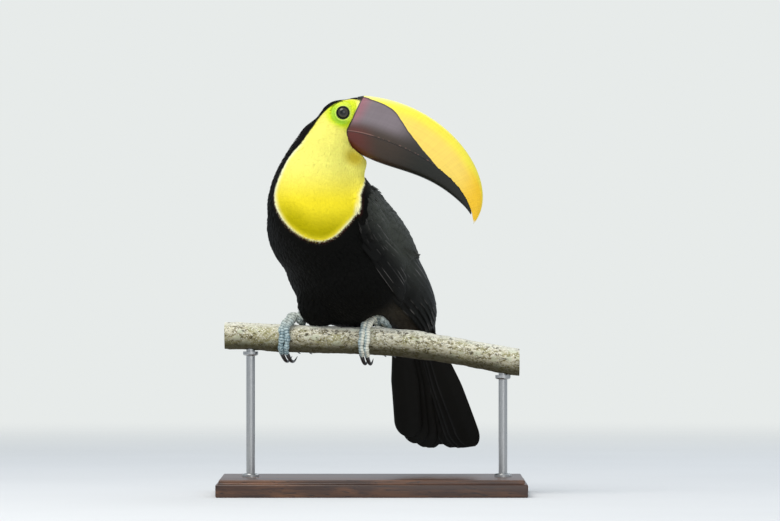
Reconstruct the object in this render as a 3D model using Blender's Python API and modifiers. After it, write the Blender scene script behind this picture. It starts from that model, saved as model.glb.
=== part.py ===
"""A yellow-throated toucan, life size, gripping a cut length of branch on a plain display stand.

The trunk, neck and head are one set of rounded masses melted together and parted by thin cuts.
World axes: +X along the perch, +Y away from the bird's front, +Z up, origin under the middle of the base.
Lengths named in millimetres are turned into metres by MM.
"""
import math

import bmesh
import bpy
from mathutils import Matrix, Vector

MM = 0.001
GAP = 0.0003                      # clearance between neighbouring solids

# Driving dimensions
PERCH_HEIGHT = 0.160              # axis of the branch above the table
PERCH_RADIUS = 0.0145
TAIL_LENGTH = 0.163
EYE_RADIUS = 0.0086
TOE_RADIUS = 0.0032
BASE_SIZE = (0.320, 0.210, 0.018)
ROD_RADIUS = 0.0045
ROD_PLACES = {"stand_rod_left": -0.126, "stand_rod_right": 0.136}
ROD_SOCKET = 0.009

# Attitude of the body and of the head
TRUNK_PITCH = math.radians(47)
TRUNK_YAW = math.radians(48)
HEAD_PITCH = math.radians(30)
TRUNK_CENTRE = (-19, 6, 96)       # mm from the perch axis
GAPE = (-26, -38, 216)            # mm from the perch axis

# Rounded masses: centre and half sizes in mm, trunk ones as (forward, left, dorsal)
TRUNK_MASSES = (
    ((32, -12, -7), (62, 66, 57)),    # breast
    ((-15, -10, -19), (68, 65, 52)),  # belly
    ((-5, -1, 12), (83, 48, 39.5)),     # back
    ((-58, 2, 5), (52, 44, 34)),      # rump
    ((-90, 5, 4), (36, 31, 20)),      # tail coverts
)
HEAD_MASSES = (
    ((-12, 0, 3.5), (22, 24, 25)),  # skull
    ((-3, 0, 12.5), (16, 19.5, 26.5)),  # face behind the bill
    ((19.5, 2, -30.5), (18.5, 21, 22.5)),   # throat
)
NECK_PATH = ((-47, -37, 199), (-53, -30, 178), (-63, -21, 146), (-50, -13, 130))
NECK_RADII = (31.5, 38.5, 50, 58)
NECK_STEPS = 10
THIGHS = {
    "right": ((-56, 2, 38.5), (22, 23, 26)),
    "left": ((-4, 3, 43), (21, 22, 27)),
}
THIGH_CUTS = {                    # round cuts that free the thighs from the trunk
    "right": ((-68, -6, 30), (31, 32, 36)),
    "left": ((2, -18, 30), (26, 34, 34)),
}
NECK_CUT = ((-56, -16, 158), (-0.10, -0.35, 0.93))   # where the neck leaves the trunk: place and normal
HEAD_CUT = ((-40, -38, 190), (0.45, 0.0, 0.89))      # where the head leaves the neck

# Bill in the head's axes, mm: fore and aft against height
CULMEN = ((-3.4, 40.6), (78.6, 81.1), (170.7, 32.9), (161.1, -17.5))
TOMIUM = ((0, 0), (16.9, 11), (127.9, 35.7), (161.1, -17.5))
GONYS = ((9, -12.5), (60, -18.5), (86, 12.0), (151.5, -8.5))
BILL_BASE_HALF_WIDTH = 18.5
BILL_SECTIONS = 18
BILL_SIDES = 8                    # points from the ridge down to the cutting edge
EYE_PLACE = (-12.7, 13.6, 14.5)

# Wing in the trunk's axes, mm: outline seen from the side as (forward, dorsal)
WING_OUTLINE = ((68, 6), (66, 22), (52, 38), (24, 50), (-10, 60), (-60, 60), (-110, 36), (-136, 14),
                (-137, 2), (-112, -8), (-60, -22), (0, -24), (46, -12))
WING_STAND_OFF = 0.0058
SLEEVE_PLACE = (-53, 0, 8)         # egg that carries the wing tips on past the rump
SLEEVE_SIZE = (84, 47, 39.5)
SLEEVE_THICKNESS = 4
QUILL_CUT = ((-12, 0, 8), (-0.58, 0, -0.81))   # coverts in front of this plane, flight feathers behind

# Tail: root and tip from the perch axis, mm
TAIL_ROOT = (40, 50, 28)
TAIL_TIP = (75, 123, -116)
TAIL_ACROSS = (0.93, -0.36, 0.05)
TAIL_FEATHERS = 10
FEATHER_WIDTH = 0.027
FEATHER_THICKNESS = 0.0016
TAIL_ARCH = 0.0025
TAIL_ROOT_SPREAD = 0.0125
TAIL_SPREAD = math.radians(8.5)

# Feet, mm: where the toes part along the perch, the top of the shank, where each toe ends up
# along the perch, how far its claw drifts on from there, and the space kept clear of feathers
FEET = {
    "right": {"root": -77, "heel": (-64.5, 6, 34), "front": (-93.8, -88.3), "rear": (-85, -73), "drift": 11,
              "space": (-4, 12)},
    "left": {"root": 3, "heel": (1, 8, 34), "front": (-10.8, -5.4), "rear": (8, 18), "drift": 7,
             "space": (3, 15)},
}
TOE_REACH = {"front": 147, "rear": 86}    # degrees round the perch at the toe's end
FOOT_SPACE_HEIGHT = (16, 13)      # middle and half height of that space above the perch axis
FOOT_SPACE_DEPTH = (-5, 21)
KNUCKLE_RADIUS = 0.0052
CLAW_ARCH = 0.0055
CLAW_RADII = (0.0020, 0.0019, 0.0017, 0.0014, 0.0011, 0.0008, 0.0004)
TOE_NAMES = {"front": ("second", "third"), "rear": ("first", "fourth")}
PERCH_PATH = ((-153, 5), (-127, 4), (-96, 2.1), (-44, 0.4), (0, -1), (29, -2.7), (56, -6),
              (81, -10.2), (108, -15), (133, -20), (153, -23.5))

# How finely the soft forms are modelled: voxel in metres, rounds of smoothing, share of triangles kept
FLESH_MELT = (0.0026, 34, 0.0275)
WING_MELT = (0.003, 6, 0.05)
BLOCK_SIZE = 0.6                  # cutting blocks, larger than the bird
WING_REACH = 0.055                # the wing's outline is pressed through a slab this far out,
WING_SLAB = 0.090                 # and this thick


def mm(values):
    """A vector in metres from a triple in millimetres."""
    return Vector(values) * MM


def above_perch(values):
    """World place of a triple in millimetres measured from the middle of the perch axis."""
    return mm(values) + Vector((0, 0, PERCH_HEIGHT))


# ---------------------------------------------------------------- scene helpers

def clear_scene():
    for thing in list(bpy.data.objects):
        bpy.data.objects.remove(thing, do_unlink=True)


def new_collection(name):
    group = bpy.data.collections.new(name)
    bpy.context.scene.collection.children.link(group)
    return group


def make_material(name, colour, roughness, metallic=0.0):
    material = bpy.data.materials.new(name)
    material.use_nodes = True
    shader = material.node_tree.nodes["Principled BSDF"]
    shader.inputs["Base Color"].default_value = (*colour, 1)
    shader.inputs["Roughness"].default_value = roughness
    shader.inputs["Metallic"].default_value = metallic
    return material


def add_object(name, data, group, frame=None):
    thing = bpy.data.objects.new(name, data)
    group.objects.link(thing)
    if frame is not None:
        thing.parent = frame
    bpy.context.view_layer.update()
    return thing


def add_frame(name, matrix, group):
    """An empty that carries pieces modelled in its own axes."""
    frame = bpy.data.objects.new(name, None)
    group.objects.link(frame)
    frame.matrix_world = matrix
    bpy.context.view_layer.update()
    return frame


def dress(thing, material):
    """Give a finished piece its one material and smooth shading with crisp edges."""
    thing.data.materials.clear()
    thing.data.materials.append(material)
    thing.data.shade_smooth()
    thing.data.set_sharp_from_angle(angle=math.radians(40))


def as_guide(thing):
    thing.hide_render = True
    thing.display_type = "WIRE"
    return thing


def bmesh_object(name, bm, group, frame=None):
    mesh = bpy.data.meshes.new(name)
    bm.to_mesh(mesh)
    bm.free()
    return add_object(name, mesh, group, frame)


def freeze(thing):
    """Turn a piece, curve or mesh, into the plain mesh that its modifiers make."""
    bpy.context.view_layer.update()
    graph = bpy.context.evaluated_depsgraph_get()
    mesh = bpy.data.meshes.new_from_object(thing.evaluated_get(graph))
    bm = bmesh.new()
    bm.from_mesh(mesh)
    bmesh.ops.remove_doubles(bm, verts=bm.verts, dist=1e-6)
    bm.to_mesh(mesh)
    bm.free()
    if thing.type == "MESH":
        thing.modifiers.clear()
        thing.data = mesh
        return thing
    solid = bpy.data.objects.new(thing.name + "_solid", mesh)
    thing.users_collection[0].objects.link(solid)
    solid.matrix_world = thing.matrix_world.copy()
    name = thing.name
    bpy.data.objects.remove(thing, do_unlink=True)
    solid.name = name
    bpy.context.view_layer.update()
    return solid


def boolean(thing, cutter, operation):
    step = thing.modifiers.new(operation.title(), "BOOLEAN")
    step.operation = operation
    step.object = cutter
    step.solver = "EXACT"
    return freeze(thing)


def grown_copy(thing, name, distance, group):
    """A guide with the shape of a piece, its faces moved out by a distance."""
    guide = bpy.data.objects.new(name, thing.data.copy())
    group.objects.link(guide)
    guide.matrix_world = thing.matrix_world.copy()
    swell = guide.modifiers.new("Grow", "DISPLACE")
    swell.strength = distance
    swell.mid_level = 0
    return as_guide(freeze(guide))


def bezier(points, t):
    """Point at t on a cubic Bezier curve."""
    a, b, c, d = (Vector(p) for p in points)
    s = 1 - t
    return a * s**3 + b * 3 * s * s * t + c * 3 * s * t * t + d * t**3


def even_points(points, count):
    """Points spaced evenly along a cubic Bezier curve."""
    fine = [bezier(points, i / 200) for i in range(201)]
    travelled = [0.0]
    for start, end in zip(fine, fine[1:]):
        travelled.append(travelled[-1] + (end - start).length)
    result = []
    k = 0
    for i in range(count):
        target = travelled[-1] * i / (count - 1)
        while k < 199 and travelled[k + 1] < target:
            k += 1
        share = (target - travelled[k]) / (travelled[k + 1] - travelled[k])
        result.append(fine[k].lerp(fine[k + 1], min(share, 1.0)))
    return result


def loft(rings, name, group, frame=None):
    """Skin over matching rings of points, closed with a cap at each end."""
    bm = bmesh.new()
    rows = [[bm.verts.new(p) for p in ring] for ring in rings]
    for near, far in zip(rows, rows[1:]):
        for i in range(len(near)):
            j = (i + 1) % len(near)
            bm.faces.new((near[i], near[j], far[j], far[i]))
    bm.faces.new(list(reversed(rows[0])))
    bm.faces.new(rows[-1])
    bmesh.ops.recalc_face_normals(bm, faces=bm.faces)
    return bmesh_object(name, bm, group, frame)


def tube(name, points, radii, group, frame=None, sides=2):
    """A round tube through points, whose radius follows them."""
    curve = bpy.data.curves.new(name, "CURVE")
    curve.dimensions = "3D"
    curve.bevel_depth = 1.0
    curve.bevel_resolution = sides
    curve.use_fill_caps = True
    line = curve.splines.new("POLY")
    line.points.add(len(points) - 1)
    for knot, place, radius in zip(line.points, points, radii):
        knot.co = (*place, 1)
        knot.radius = radius
    return freeze(add_object(name, curve, group, frame))


def plate(name, outline, thickness, group, frame=None):
    """A flat sheet cut to an outline in its own XY plane."""
    curve = bpy.data.curves.new(name, "CURVE")
    curve.dimensions = "2D"
    curve.fill_mode = "BOTH"
    curve.extrude = thickness / 2
    line = curve.splines.new("POLY")
    line.points.add(len(outline) - 1)
    for knot, place in zip(line.points, outline):
        knot.co = (place[0], place[1], 0, 1)
    line.use_cyclic_u = True
    return add_object(name, curve, group, frame)


# ---------------------------------------------------------------- the bird's own axes

def trunk_matrix():
    """Columns are forward, left and dorsal, as the body leans back and turns."""
    p, y = TRUNK_PITCH, TRUNK_YAW
    forward = Vector((-math.cos(p) * math.sin(y), -math.cos(p) * math.cos(y), math.sin(p)))
    left = Vector((math.cos(y), -math.sin(y), 0))
    dorsal = forward.cross(left)
    turn = Matrix((forward, left, dorsal)).transposed().to_4x4()
    return Matrix.Translation(above_perch(TRUNK_CENTRE)) @ turn


def head_matrix():
    """X runs along the bill, Y to the bird's left, Z through the crown; origin at the gape."""
    return Matrix.Translation(above_perch(GAPE)) @ Matrix.Rotation(HEAD_PITCH, 4, "Y")


# ---------------------------------------------------------------- flesh

def add_mass(bm, matrix, centre, half_sizes, detail=4):
    shape = matrix @ Matrix.Translation(mm(centre)) @ Matrix.Diagonal((*mm(half_sizes), 1))
    bmesh.ops.create_icosphere(bm, subdivisions=detail, radius=1.0, matrix=shape)


def melt_down(thing, voxel, smoothing, share):
    """Fuse overlapping masses, ease the creases between them, and thin the mesh."""
    melt = thing.modifiers.new("Melt", "REMESH")
    melt.mode = "VOXEL"
    melt.voxel_size = voxel
    soften = thing.modifiers.new("Soften", "SMOOTH")
    soften.factor = 0.5
    soften.iterations = smoothing
    thin = thing.modifiers.new("Thin", "DECIMATE")
    thin.ratio = share
    return freeze(thing)


def make_flesh(group):
    """Trunk, neck and head melted into one smooth form."""
    bm = bmesh.new()
    for centre, half_sizes in TRUNK_MASSES:
        add_mass(bm, trunk_matrix(), centre, half_sizes)
    for centre, half_sizes in HEAD_MASSES:
        add_mass(bm, head_matrix(), centre, half_sizes)
    for centre, half_sizes in THIGHS.values():
        add_mass(bm, Matrix.Translation(above_perch((0, 0, 0))), centre, half_sizes)
    for i in range(NECK_STEPS + 1):
        t = i / NECK_STEPS
        centre = bezier(NECK_PATH, t)
        radius = bezier([(r, 0, 0) for r in NECK_RADII], t).x
        add_mass(bm, Matrix.Translation(above_perch((0, 0, 0))), centre, (radius,) * 3)
    flesh = bmesh_object("flesh", bm, group)
    return melt_down(flesh, *FLESH_MELT)


def cutting_block(name, place, normal, group, frame=None):
    """A large block whose lower face passes through a place, facing along a normal."""
    bm = bmesh.new()
    lift = Matrix.Translation((0, 0, BLOCK_SIZE / 2))
    bmesh.ops.create_cube(bm, size=BLOCK_SIZE, matrix=lift)
    cutter = bmesh_object(name, bm, group, frame)
    turn = Vector(normal).to_track_quat("Z", "Y").to_matrix().to_4x4()
    cutter.matrix_local = Matrix.Translation(place) @ turn
    bpy.context.view_layer.update()
    return as_guide(cutter)


def part_in_two(thing, new_name, place, normal, group, frame=None):
    """Cut a piece across; what lies along the normal becomes a new piece."""
    far = bpy.data.objects.new(new_name, thing.data.copy())
    thing.users_collection[0].objects.link(far)
    far.matrix_world = thing.matrix_world.copy()
    step = Vector(normal).normalized() * (GAP / 2)
    place = Vector(place)
    near_block = cutting_block("near_block", place - step, normal, group, frame)
    boolean(thing, near_block, "DIFFERENCE")
    far_block = cutting_block("far_block", place + step, normal, group, frame)
    boolean(far, far_block, "INTERSECT")
    return far


# ---------------------------------------------------------------- bill and eyes

def half_width(t):
    """Half the bill's width along it: broad at the face, narrow at the tip."""
    return BILL_BASE_HALF_WIDTH * MM * (1 - 0.16 * t - 0.60 * t**2.4) * math.sqrt(max(1 - t**9, 0.0))


def mandible_ring(ridge, edge, width):
    """A section: a rounded ridge opening out to a flat cut between the two edges."""
    ring = []
    for side in (1, -1):
        steps = range(BILL_SIDES) if side > 0 else range(BILL_SIDES - 1, 0, -1)
        for i in steps:
            turn = math.pi / 2 * i / (BILL_SIDES - 1)
            place = ridge.lerp(edge, 1 - math.cos(turn) ** 1.1)
            ring.append((place.x, side * width * math.sin(turn) ** 0.75, place.z))
    return ring


def profile(points, shares):
    """Places on a Bezier profile at shares of its length, in the head's middle plane, in metres."""
    line = even_points([(x, z, 0) for x, z in points], 400)
    places = [line[round(share * 399)] for share in shares]
    return [Vector((p.x, 0, p.y)) * MM for p in places]


def make_bill(group, frame):
    shares = [math.sin(math.pi / 2 * i / BILL_SECTIONS) for i in range(BILL_SECTIONS)]
    culmen = profile(CULMEN, shares)
    tomium = profile(TOMIUM, shares)
    gonys = profile(GONYS, shares)
    upper_rings = []
    lower_rings = []
    for t, ridge, edge, keel in zip(shares, culmen, tomium, gonys):
        upper_rings.append(mandible_ring(ridge, edge, half_width(t)))
        meeting = edge.lerp(gonys[-1], t**6) - Vector((0, 0, GAP))
        lower_rings.append(mandible_ring(keel, meeting, half_width(t) * (0.97 - 0.15 * t)))
    upper = loft(upper_rings, "bill_upper", group, frame)
    lower = loft(lower_rings, "bill_lower", group, frame)
    return upper, lower


def make_eye(side, group, frame):
    bm = bmesh.new()
    place = mm(EYE_PLACE)
    place.y *= side
    bmesh.ops.create_icosphere(bm, subdivisions=2, radius=EYE_RADIUS, matrix=Matrix.Translation(place))
    return bmesh_object("eye_left" if side > 0 else "eye_right", bm, group, frame)


def face_cutter(group, frame):
    """Clears the flesh in front of the bill's slanting base."""
    outline = [(-3.9, 50), (0.2, 1), (11, -11.5), (120, -8), (120, 90), (-3.9, 90)]
    blank = plate("face_cutter", [mm((x, z, 0)) for x, z in outline], 0.12, group, frame)
    blank.matrix_local = Matrix.Rotation(math.radians(90), 4, "X")
    return as_guide(freeze(blank))


# ---------------------------------------------------------------- wings

def make_wing_blank(flesh, guides):
    """The outer surface that both folded wings share: over the trunk, then on past the rump."""
    blank = grown_copy(flesh, "wing_blank", WING_STAND_OFF, guides)
    bm = bmesh.new()
    bm.from_mesh(blank.data)
    add_mass(bm, trunk_matrix(), SLEEVE_PLACE, SLEEVE_SIZE)
    bm.to_mesh(blank.data)
    bm.free()
    return melt_down(blank, *WING_MELT)


def make_wing(side, blank, flesh, group, guides, frame):
    """A shell that hugs the trunk and runs on past the rump, in a folded wing's outline."""
    word = "left" if side > 0 else "right"
    wing = bpy.data.objects.new("wing_" + word, blank.data.copy())
    group.objects.link(wing)
    outline = [mm((a, d, 0)) for a, d in WING_OUTLINE]
    prism = plate("wing_outline", outline, WING_SLAB, guides, frame)
    upright = Matrix.Rotation(math.radians(90), 4, "X")
    prism.matrix_local = Matrix.Translation((0, side * WING_REACH, 0)) @ upright
    boolean(wing, as_guide(freeze(prism)), "INTERSECT")
    boolean(wing, grown_copy(flesh, "wing_bed", GAP, guides), "DIFFERENCE")
    hollow = bmesh.new()
    add_mass(hollow, Matrix(), SLEEVE_PLACE, [size - SLEEVE_THICKNESS for size in SLEEVE_SIZE], 3)
    boolean(wing, as_guide(bmesh_object("hollow", hollow, guides, frame)), "DIFFERENCE")
    wing.name = f"wing_{word}_coverts"
    place, normal = QUILL_CUT
    return wing, part_in_two(wing, f"wing_{word}_quills", mm(place), normal, guides, frame)


# ---------------------------------------------------------------- tail

def feather_outline(length, width):
    """A blade narrow at the root, parallel along its length and rounded at the tip."""
    tip = width * 0.55
    points = [(-width * 0.28, 0), (-width * 0.5, length * 0.35), (-width * 0.5, length - tip)]
    for i in range(1, 5):
        turn = math.pi * i / 5
        points.append((-width / 2 * math.cos(turn), length - tip + tip * math.sin(turn)))
    points += [(width * 0.5, length - tip), (width * 0.5, length * 0.35), (width * 0.28, 0)]
    return points


def tail_matrix():
    """Y runs down the tail, X across it, Z out of its upper face."""
    along = (above_perch(TAIL_TIP) - above_perch(TAIL_ROOT)).normalized()
    across = Vector(TAIL_ACROSS)
    across = (across - along * across.dot(along)).normalized()
    face = across.cross(along)
    turn = Matrix((across, along, face)).transposed().to_4x4()
    return Matrix.Translation(above_perch(TAIL_ROOT)) @ turn


def tail_length_share(share):
    """Shorter blades at the tail's edges, most on the right, and a shallow notch in the middle."""
    edge = 0.085 * -share ** 3 if share < 0 else 0.008 * share ** 3
    return 1.012 - edge - 0.022 * math.exp(-(share / 0.2) ** 2)


def make_tail(group, frame):
    """Ten blades fanned in a shallow arch and joined where they overlap."""
    tail = None
    for i in range(TAIL_FEATHERS):
        share = 2 * i / (TAIL_FEATHERS - 1) - 1
        length = TAIL_LENGTH * tail_length_share(share)
        outline = feather_outline(length, FEATHER_WIDTH)
        blade = plate("tail_feather", outline, FEATHER_THICKNESS, group, frame)
        lift = 0.0003 * (i % 2) - TAIL_ARCH * share * share
        place = Matrix.Translation((share * TAIL_ROOT_SPREAD, 0, lift))
        blade.matrix_local = place @ Matrix.Rotation(-share * TAIL_SPREAD, 4, "Z")
        blade = freeze(blade)
        if tail is None:
            tail = blade
            tail.name = "tail"
        else:
            boolean(tail, blade, "UNION")
            bpy.data.objects.remove(blade, do_unlink=True)
    return tail


# ---------------------------------------------------------------- perch and feet

def perch_axis(x):
    """Height of the perch's axis over its mean level, in metres, at a place along it."""
    for (x0, z0), (x1, z1) in zip(PERCH_PATH, PERCH_PATH[1:]):
        if x * 1000 <= x1:
            break
    share = (x * 1000 - x0) / (x1 - x0)
    return (z0 + (z1 - z0) * share) * MM


def make_perch(group):
    points = [above_perch((x, 0, z)) for x, z in PERCH_PATH]
    radii = [PERCH_RADIUS * (1 + 0.03 * math.sin(3.1 * i)) for i in range(len(points))]
    return tube("perch", points, radii, group, sides=5)


def around_perch(x, turn, radius):
    """A place on a circle about the perch's axis; the turn is from the top towards the front."""
    height = PERCH_HEIGHT + perch_axis(x)
    return Vector((x, -radius * math.sin(turn), height + radius * math.cos(turn)))


def toe_points(root, end, facing, reach):
    """Over the top of the perch, spreading along it, then round the front or the back."""
    points = []
    steps = 9
    for i in range(steps):
        t = i / (steps - 1)
        turn = math.radians(reach * t - 7 * (1 - t)) * facing
        spread = root + (end - root) * min(1.0, 2.2 * t) ** 0.8
        clear = PERCH_RADIUS + TOE_RADIUS * (1.25 + 0.9 * math.exp(-(6 * t) ** 2))
        points.append(around_perch(spread * MM, turn, clear))
    return points


def claw_points(end, drift, facing, reach):
    """A hook that arches away from the bark past the toe's end and comes back to it."""
    points = []
    for i in range(7):
        t = i / 6
        turn = math.radians(reach - 3 + 60 * t) * facing
        clear = PERCH_RADIUS + TOE_RADIUS * 1.25 + CLAW_ARCH * math.sin(math.pi * 0.94 * t)
        points.append(around_perch((end + drift * t) * MM, turn, clear))
    return points


def clear_foot_space(foot, flesh, guides):
    """The feathers part above the toes, so the foot shows whole on the perch."""
    shift, half_length = foot["space"]
    (deep, half_depth), (high, half_height) = FOOT_SPACE_DEPTH, FOOT_SPACE_HEIGHT
    bm = bmesh.new()
    add_mass(bm, Matrix.Translation(above_perch((foot["root"], 0, 0))), (shift, deep, high),
             (half_length, half_depth, half_height), 2)
    boolean(flesh, as_guide(bmesh_object("foot_space", bm, guides)), "DIFFERENCE")


def make_foot(side, flesh, group, guides):
    """Shank and four toes as one piece, with a claw fitted to the end of each toe."""
    foot = FEET[side]
    root = around_perch(foot["root"] * MM, 0, PERCH_RADIUS + TOE_RADIUS * 2.3)
    clear_foot_space(foot, flesh, guides)
    shank = [root, root.lerp(above_perch(foot["heel"]), 0.5), above_perch(foot["heel"])]
    joined = tube("foot_" + side, shank, [0.0036, 0.0036, 0.0040], group, sides=1)
    bm = bmesh.new()
    bmesh.ops.create_icosphere(bm, subdivisions=2, radius=KNUCKLE_RADIUS, matrix=Matrix.Translation(root))
    boolean(joined, as_guide(bmesh_object("knuckle", bm, guides)), "UNION")
    claws = []
    for facing, sign in (("front", 1), ("rear", -1)):
        for name, end in zip(TOE_NAMES[facing], foot[facing]):
            reach = TOE_REACH[facing]
            points = toe_points(foot["root"] + 0.3 * (end - foot["root"]), end, sign, reach)
            radii = [TOE_RADIUS * (1.12 - 0.32 * i / 8) for i in range(9)]
            toe = tube("toe", points, radii, guides, sides=1)
            boolean(joined, as_guide(toe), "UNION")
            claw = claw_points(end, foot["drift"], sign, reach)
            claws.append(tube(f"claw_{side}_{name}", claw, CLAW_RADII, group, sides=1))
    boolean(flesh, grown_copy(joined, "shank_socket", GAP, guides), "DIFFERENCE")
    socket = grown_copy(joined, "claw_bed", GAP, guides)
    for claw in claws:
        boolean(claw, socket, "DIFFERENCE")
    return joined


def part_thigh(side, flesh, group, guides):
    """Free the thigh from the flesh with a thin round cut."""
    centre, half_sizes = THIGH_CUTS[side]
    thigh = bpy.data.objects.new("thigh_" + side, flesh.data.copy())
    group.objects.link(thigh)
    bm = bmesh.new()
    add_mass(bm, Matrix.Translation(above_perch((0, 0, 0))), centre, half_sizes, 2)
    mass = as_guide(bmesh_object("thigh_mass", bm, guides))
    boolean(thigh, mass, "INTERSECT")
    boolean(flesh, grown_copy(mass, "thigh_bed", GAP, guides), "DIFFERENCE")
    return thigh


# ---------------------------------------------------------------- stand

def make_base(group):
    bm = bmesh.new()
    bmesh.ops.create_cube(bm, size=1.0, matrix=Matrix.Diagonal((*BASE_SIZE, 1)))
    base = bmesh_object("stand_base", bm, group)
    base.location.z = BASE_SIZE[2] / 2
    edge = base.modifiers.new("Soft edges", "BEVEL")
    edge.width = 0.003
    edge.segments = 2
    edge.limit_method = "ANGLE"
    return freeze(base)


def make_rod(name, x, perch, base, group, guides):
    """A steel rod standing in a socket in the base and in another in the perch."""
    low = BASE_SIZE[2] - ROD_SOCKET
    high = PERCH_HEIGHT + perch_axis(x) - PERCH_RADIUS + ROD_SOCKET
    bm = bmesh.new()
    place = Matrix.Translation((x, 0, (low + high) / 2))
    bmesh.ops.create_cone(bm, cap_ends=True, segments=24, radius1=ROD_RADIUS, radius2=ROD_RADIUS,
                          depth=high - low, matrix=place)
    rod = bmesh_object(name, bm, group)
    socket = grown_copy(rod, name + "_socket", GAP, guides)
    boolean(perch, socket, "DIFFERENCE")
    boolean(base, socket, "DIFFERENCE")
    return rod


# ---------------------------------------------------------------- finishes

FINISHES = {                      # colour, roughness, metallic
    "bill": ((0.90, 0.68, 0.08), 0.30, 0.0),
    "eye": ((0.02, 0.015, 0.01), 0.05, 0.0),
    "head": ((0.86, 0.80, 0.22), 0.75, 0.0),
    "neck": ((0.88, 0.80, 0.20), 0.75, 0.0),
    "trunk": ((0.018, 0.018, 0.018), 0.65, 0.0),
    "thigh": ((0.018, 0.018, 0.018), 0.65, 0.0),
    "wing": ((0.022, 0.023, 0.024), 0.50, 0.0),
    "tail": ((0.015, 0.015, 0.016), 0.50, 0.0),
    "foot": ((0.30, 0.42, 0.52), 0.55, 0.0),
    "claw": ((0.03, 0.03, 0.03), 0.30, 0.0),
    "perch": ((0.42, 0.38, 0.27), 0.90, 0.0),
    "stand_base": ((0.10, 0.055, 0.03), 0.40, 0.0),
    "stand_rod": ((0.60, 0.60, 0.60), 0.30, 1.0),
}


def finish_all(bird):
    """Every piece gets a material of its own, in the finish its name begins with."""
    for thing in bird.objects:
        if thing.type != "MESH":
            continue
        kind = next(word for word in FINISHES if thing.name.startswith(word))
        dress(thing, make_material(thing.name, *FINISHES[kind]))


# ---------------------------------------------------------------- assembly

def make_flesh_nodes(flesh, bill, eyes, guides, head_frame):
    """Part the flesh into trunk, neck and head, and seat the bill and eyes."""
    boolean(flesh, face_cutter(guides, head_frame), "DIFFERENCE")
    for piece in (*bill, *eyes):
        boolean(flesh, grown_copy(piece, piece.name + "_seat", GAP, guides), "DIFFERENCE")
    flesh.name = "trunk"
    neck = part_in_two(flesh, "neck", above_perch(NECK_CUT[0]), NECK_CUT[1], guides)
    head = part_in_two(neck, "head", above_perch(HEAD_CUT[0]), HEAD_CUT[1], guides)
    return flesh, neck, head


def main():
    clear_scene()
    bird = new_collection("toucan")
    guides = new_collection("guides")
    head_frame = add_frame("head_axes", head_matrix(), bird)
    trunk_frame = add_frame("trunk_axes", trunk_matrix(), bird)
    tail_frame = add_frame("tail_axes", tail_matrix(), bird)
    flesh = make_flesh(bird)
    perch = make_perch(bird)
    boolean(flesh, grown_copy(perch, "perch_clearance", GAP, guides), "DIFFERENCE")
    blank = make_wing_blank(flesh, guides)
    wings = []
    for side in (1, -1):
        wings += make_wing(side, blank, flesh, bird, guides, trunk_frame)
    tail = make_tail(bird, tail_frame)
    for piece in (flesh, *wings):
        boolean(tail, grown_copy(piece, "tail_bed", GAP, guides), "DIFFERENCE")
    bill = make_bill(bird, head_frame)
    eyes = [make_eye(side, bird, head_frame) for side in (1, -1)]
    for side in FEET:
        make_foot(side, flesh, bird, guides)
        part_thigh(side, flesh, bird, guides)
    make_flesh_nodes(flesh, bill, eyes, guides, head_frame)
    base = make_base(bird)
    for name, x in ROD_PLACES.items():
        make_rod(name, x, perch, base, bird, guides)
    finish_all(bird)


main()
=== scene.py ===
import math

import bmesh
import bpy
import numpy as np
from mathutils import Matrix, Vector, noise
from mathutils.bvhtree import BVHTree
from mathutils.geometry import barycentric_transform


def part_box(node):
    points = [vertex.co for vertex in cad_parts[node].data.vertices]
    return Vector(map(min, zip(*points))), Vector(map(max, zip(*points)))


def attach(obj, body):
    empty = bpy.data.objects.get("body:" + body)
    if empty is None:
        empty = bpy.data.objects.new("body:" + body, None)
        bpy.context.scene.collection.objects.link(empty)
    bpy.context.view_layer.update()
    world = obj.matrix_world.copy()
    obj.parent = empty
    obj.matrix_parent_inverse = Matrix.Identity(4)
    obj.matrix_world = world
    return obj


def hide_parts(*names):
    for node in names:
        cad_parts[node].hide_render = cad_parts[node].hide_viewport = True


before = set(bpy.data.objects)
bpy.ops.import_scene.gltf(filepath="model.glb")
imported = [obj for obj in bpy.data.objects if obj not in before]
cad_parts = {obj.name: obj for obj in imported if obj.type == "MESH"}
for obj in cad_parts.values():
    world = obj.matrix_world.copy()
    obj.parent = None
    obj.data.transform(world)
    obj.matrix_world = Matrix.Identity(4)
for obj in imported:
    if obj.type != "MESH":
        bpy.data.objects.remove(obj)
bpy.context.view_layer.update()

scene = bpy.context.scene
scene.view_settings.view_transform = "Standard"

# Axes that the whole bird is built on, read off the frame.

attitude = {
    "headPitch": 30,                            # bill below level, degrees
    "eyesFromGape": (-0.0127, 0.0, 0.0145),     # in the head's axes
    "trunkPitch": 47,
    "trunkYaw": 48,
    "trunkFromPerch": (-0.019, 0.006, 0.097),
    "wingCore": 0.008,                          # the wings wrap round a line this far above the trunk's axis
}


def middleOf(node):
    low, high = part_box(node)
    return (low + high) / 2


def sideWord(side):
    return "left" if side > 0 else "right"


def treeFrom(mesh):
    return BVHTree.FromPolygons([v.co for v in mesh.vertices], [f.vertices for f in mesh.polygons])


def treeOf(nodes):
    points, faces = [], []
    for node in nodes:
        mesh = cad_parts[node].data
        first = len(points)
        points += [v.co.copy() for v in mesh.vertices]
        faces += [tuple(first + i for i in face.vertices) for face in mesh.polygons]
    return BVHTree.FromPolygons(points, faces)


perchTree = treeOf(["perch"])


def perchHeight(x):
    # the middle of the branch at a place along it
    top = perchTree.ray_cast(Vector((x, 0, 1)), Vector((0, 0, -1)))[0]
    low = perchTree.ray_cast(Vector((x, 0, 0)), Vector((0, 0, 1)))[0]
    return (top.z + low.z) / 2


def headAxesMatrix():
    turn = Matrix.Rotation(math.radians(attitude["headPitch"]), 4, "Y")
    eyes = (middleOf("eye_left") + middleOf("eye_right")) / 2
    return Matrix.Translation(eyes - turn @ Vector(attitude["eyesFromGape"])) @ turn


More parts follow.
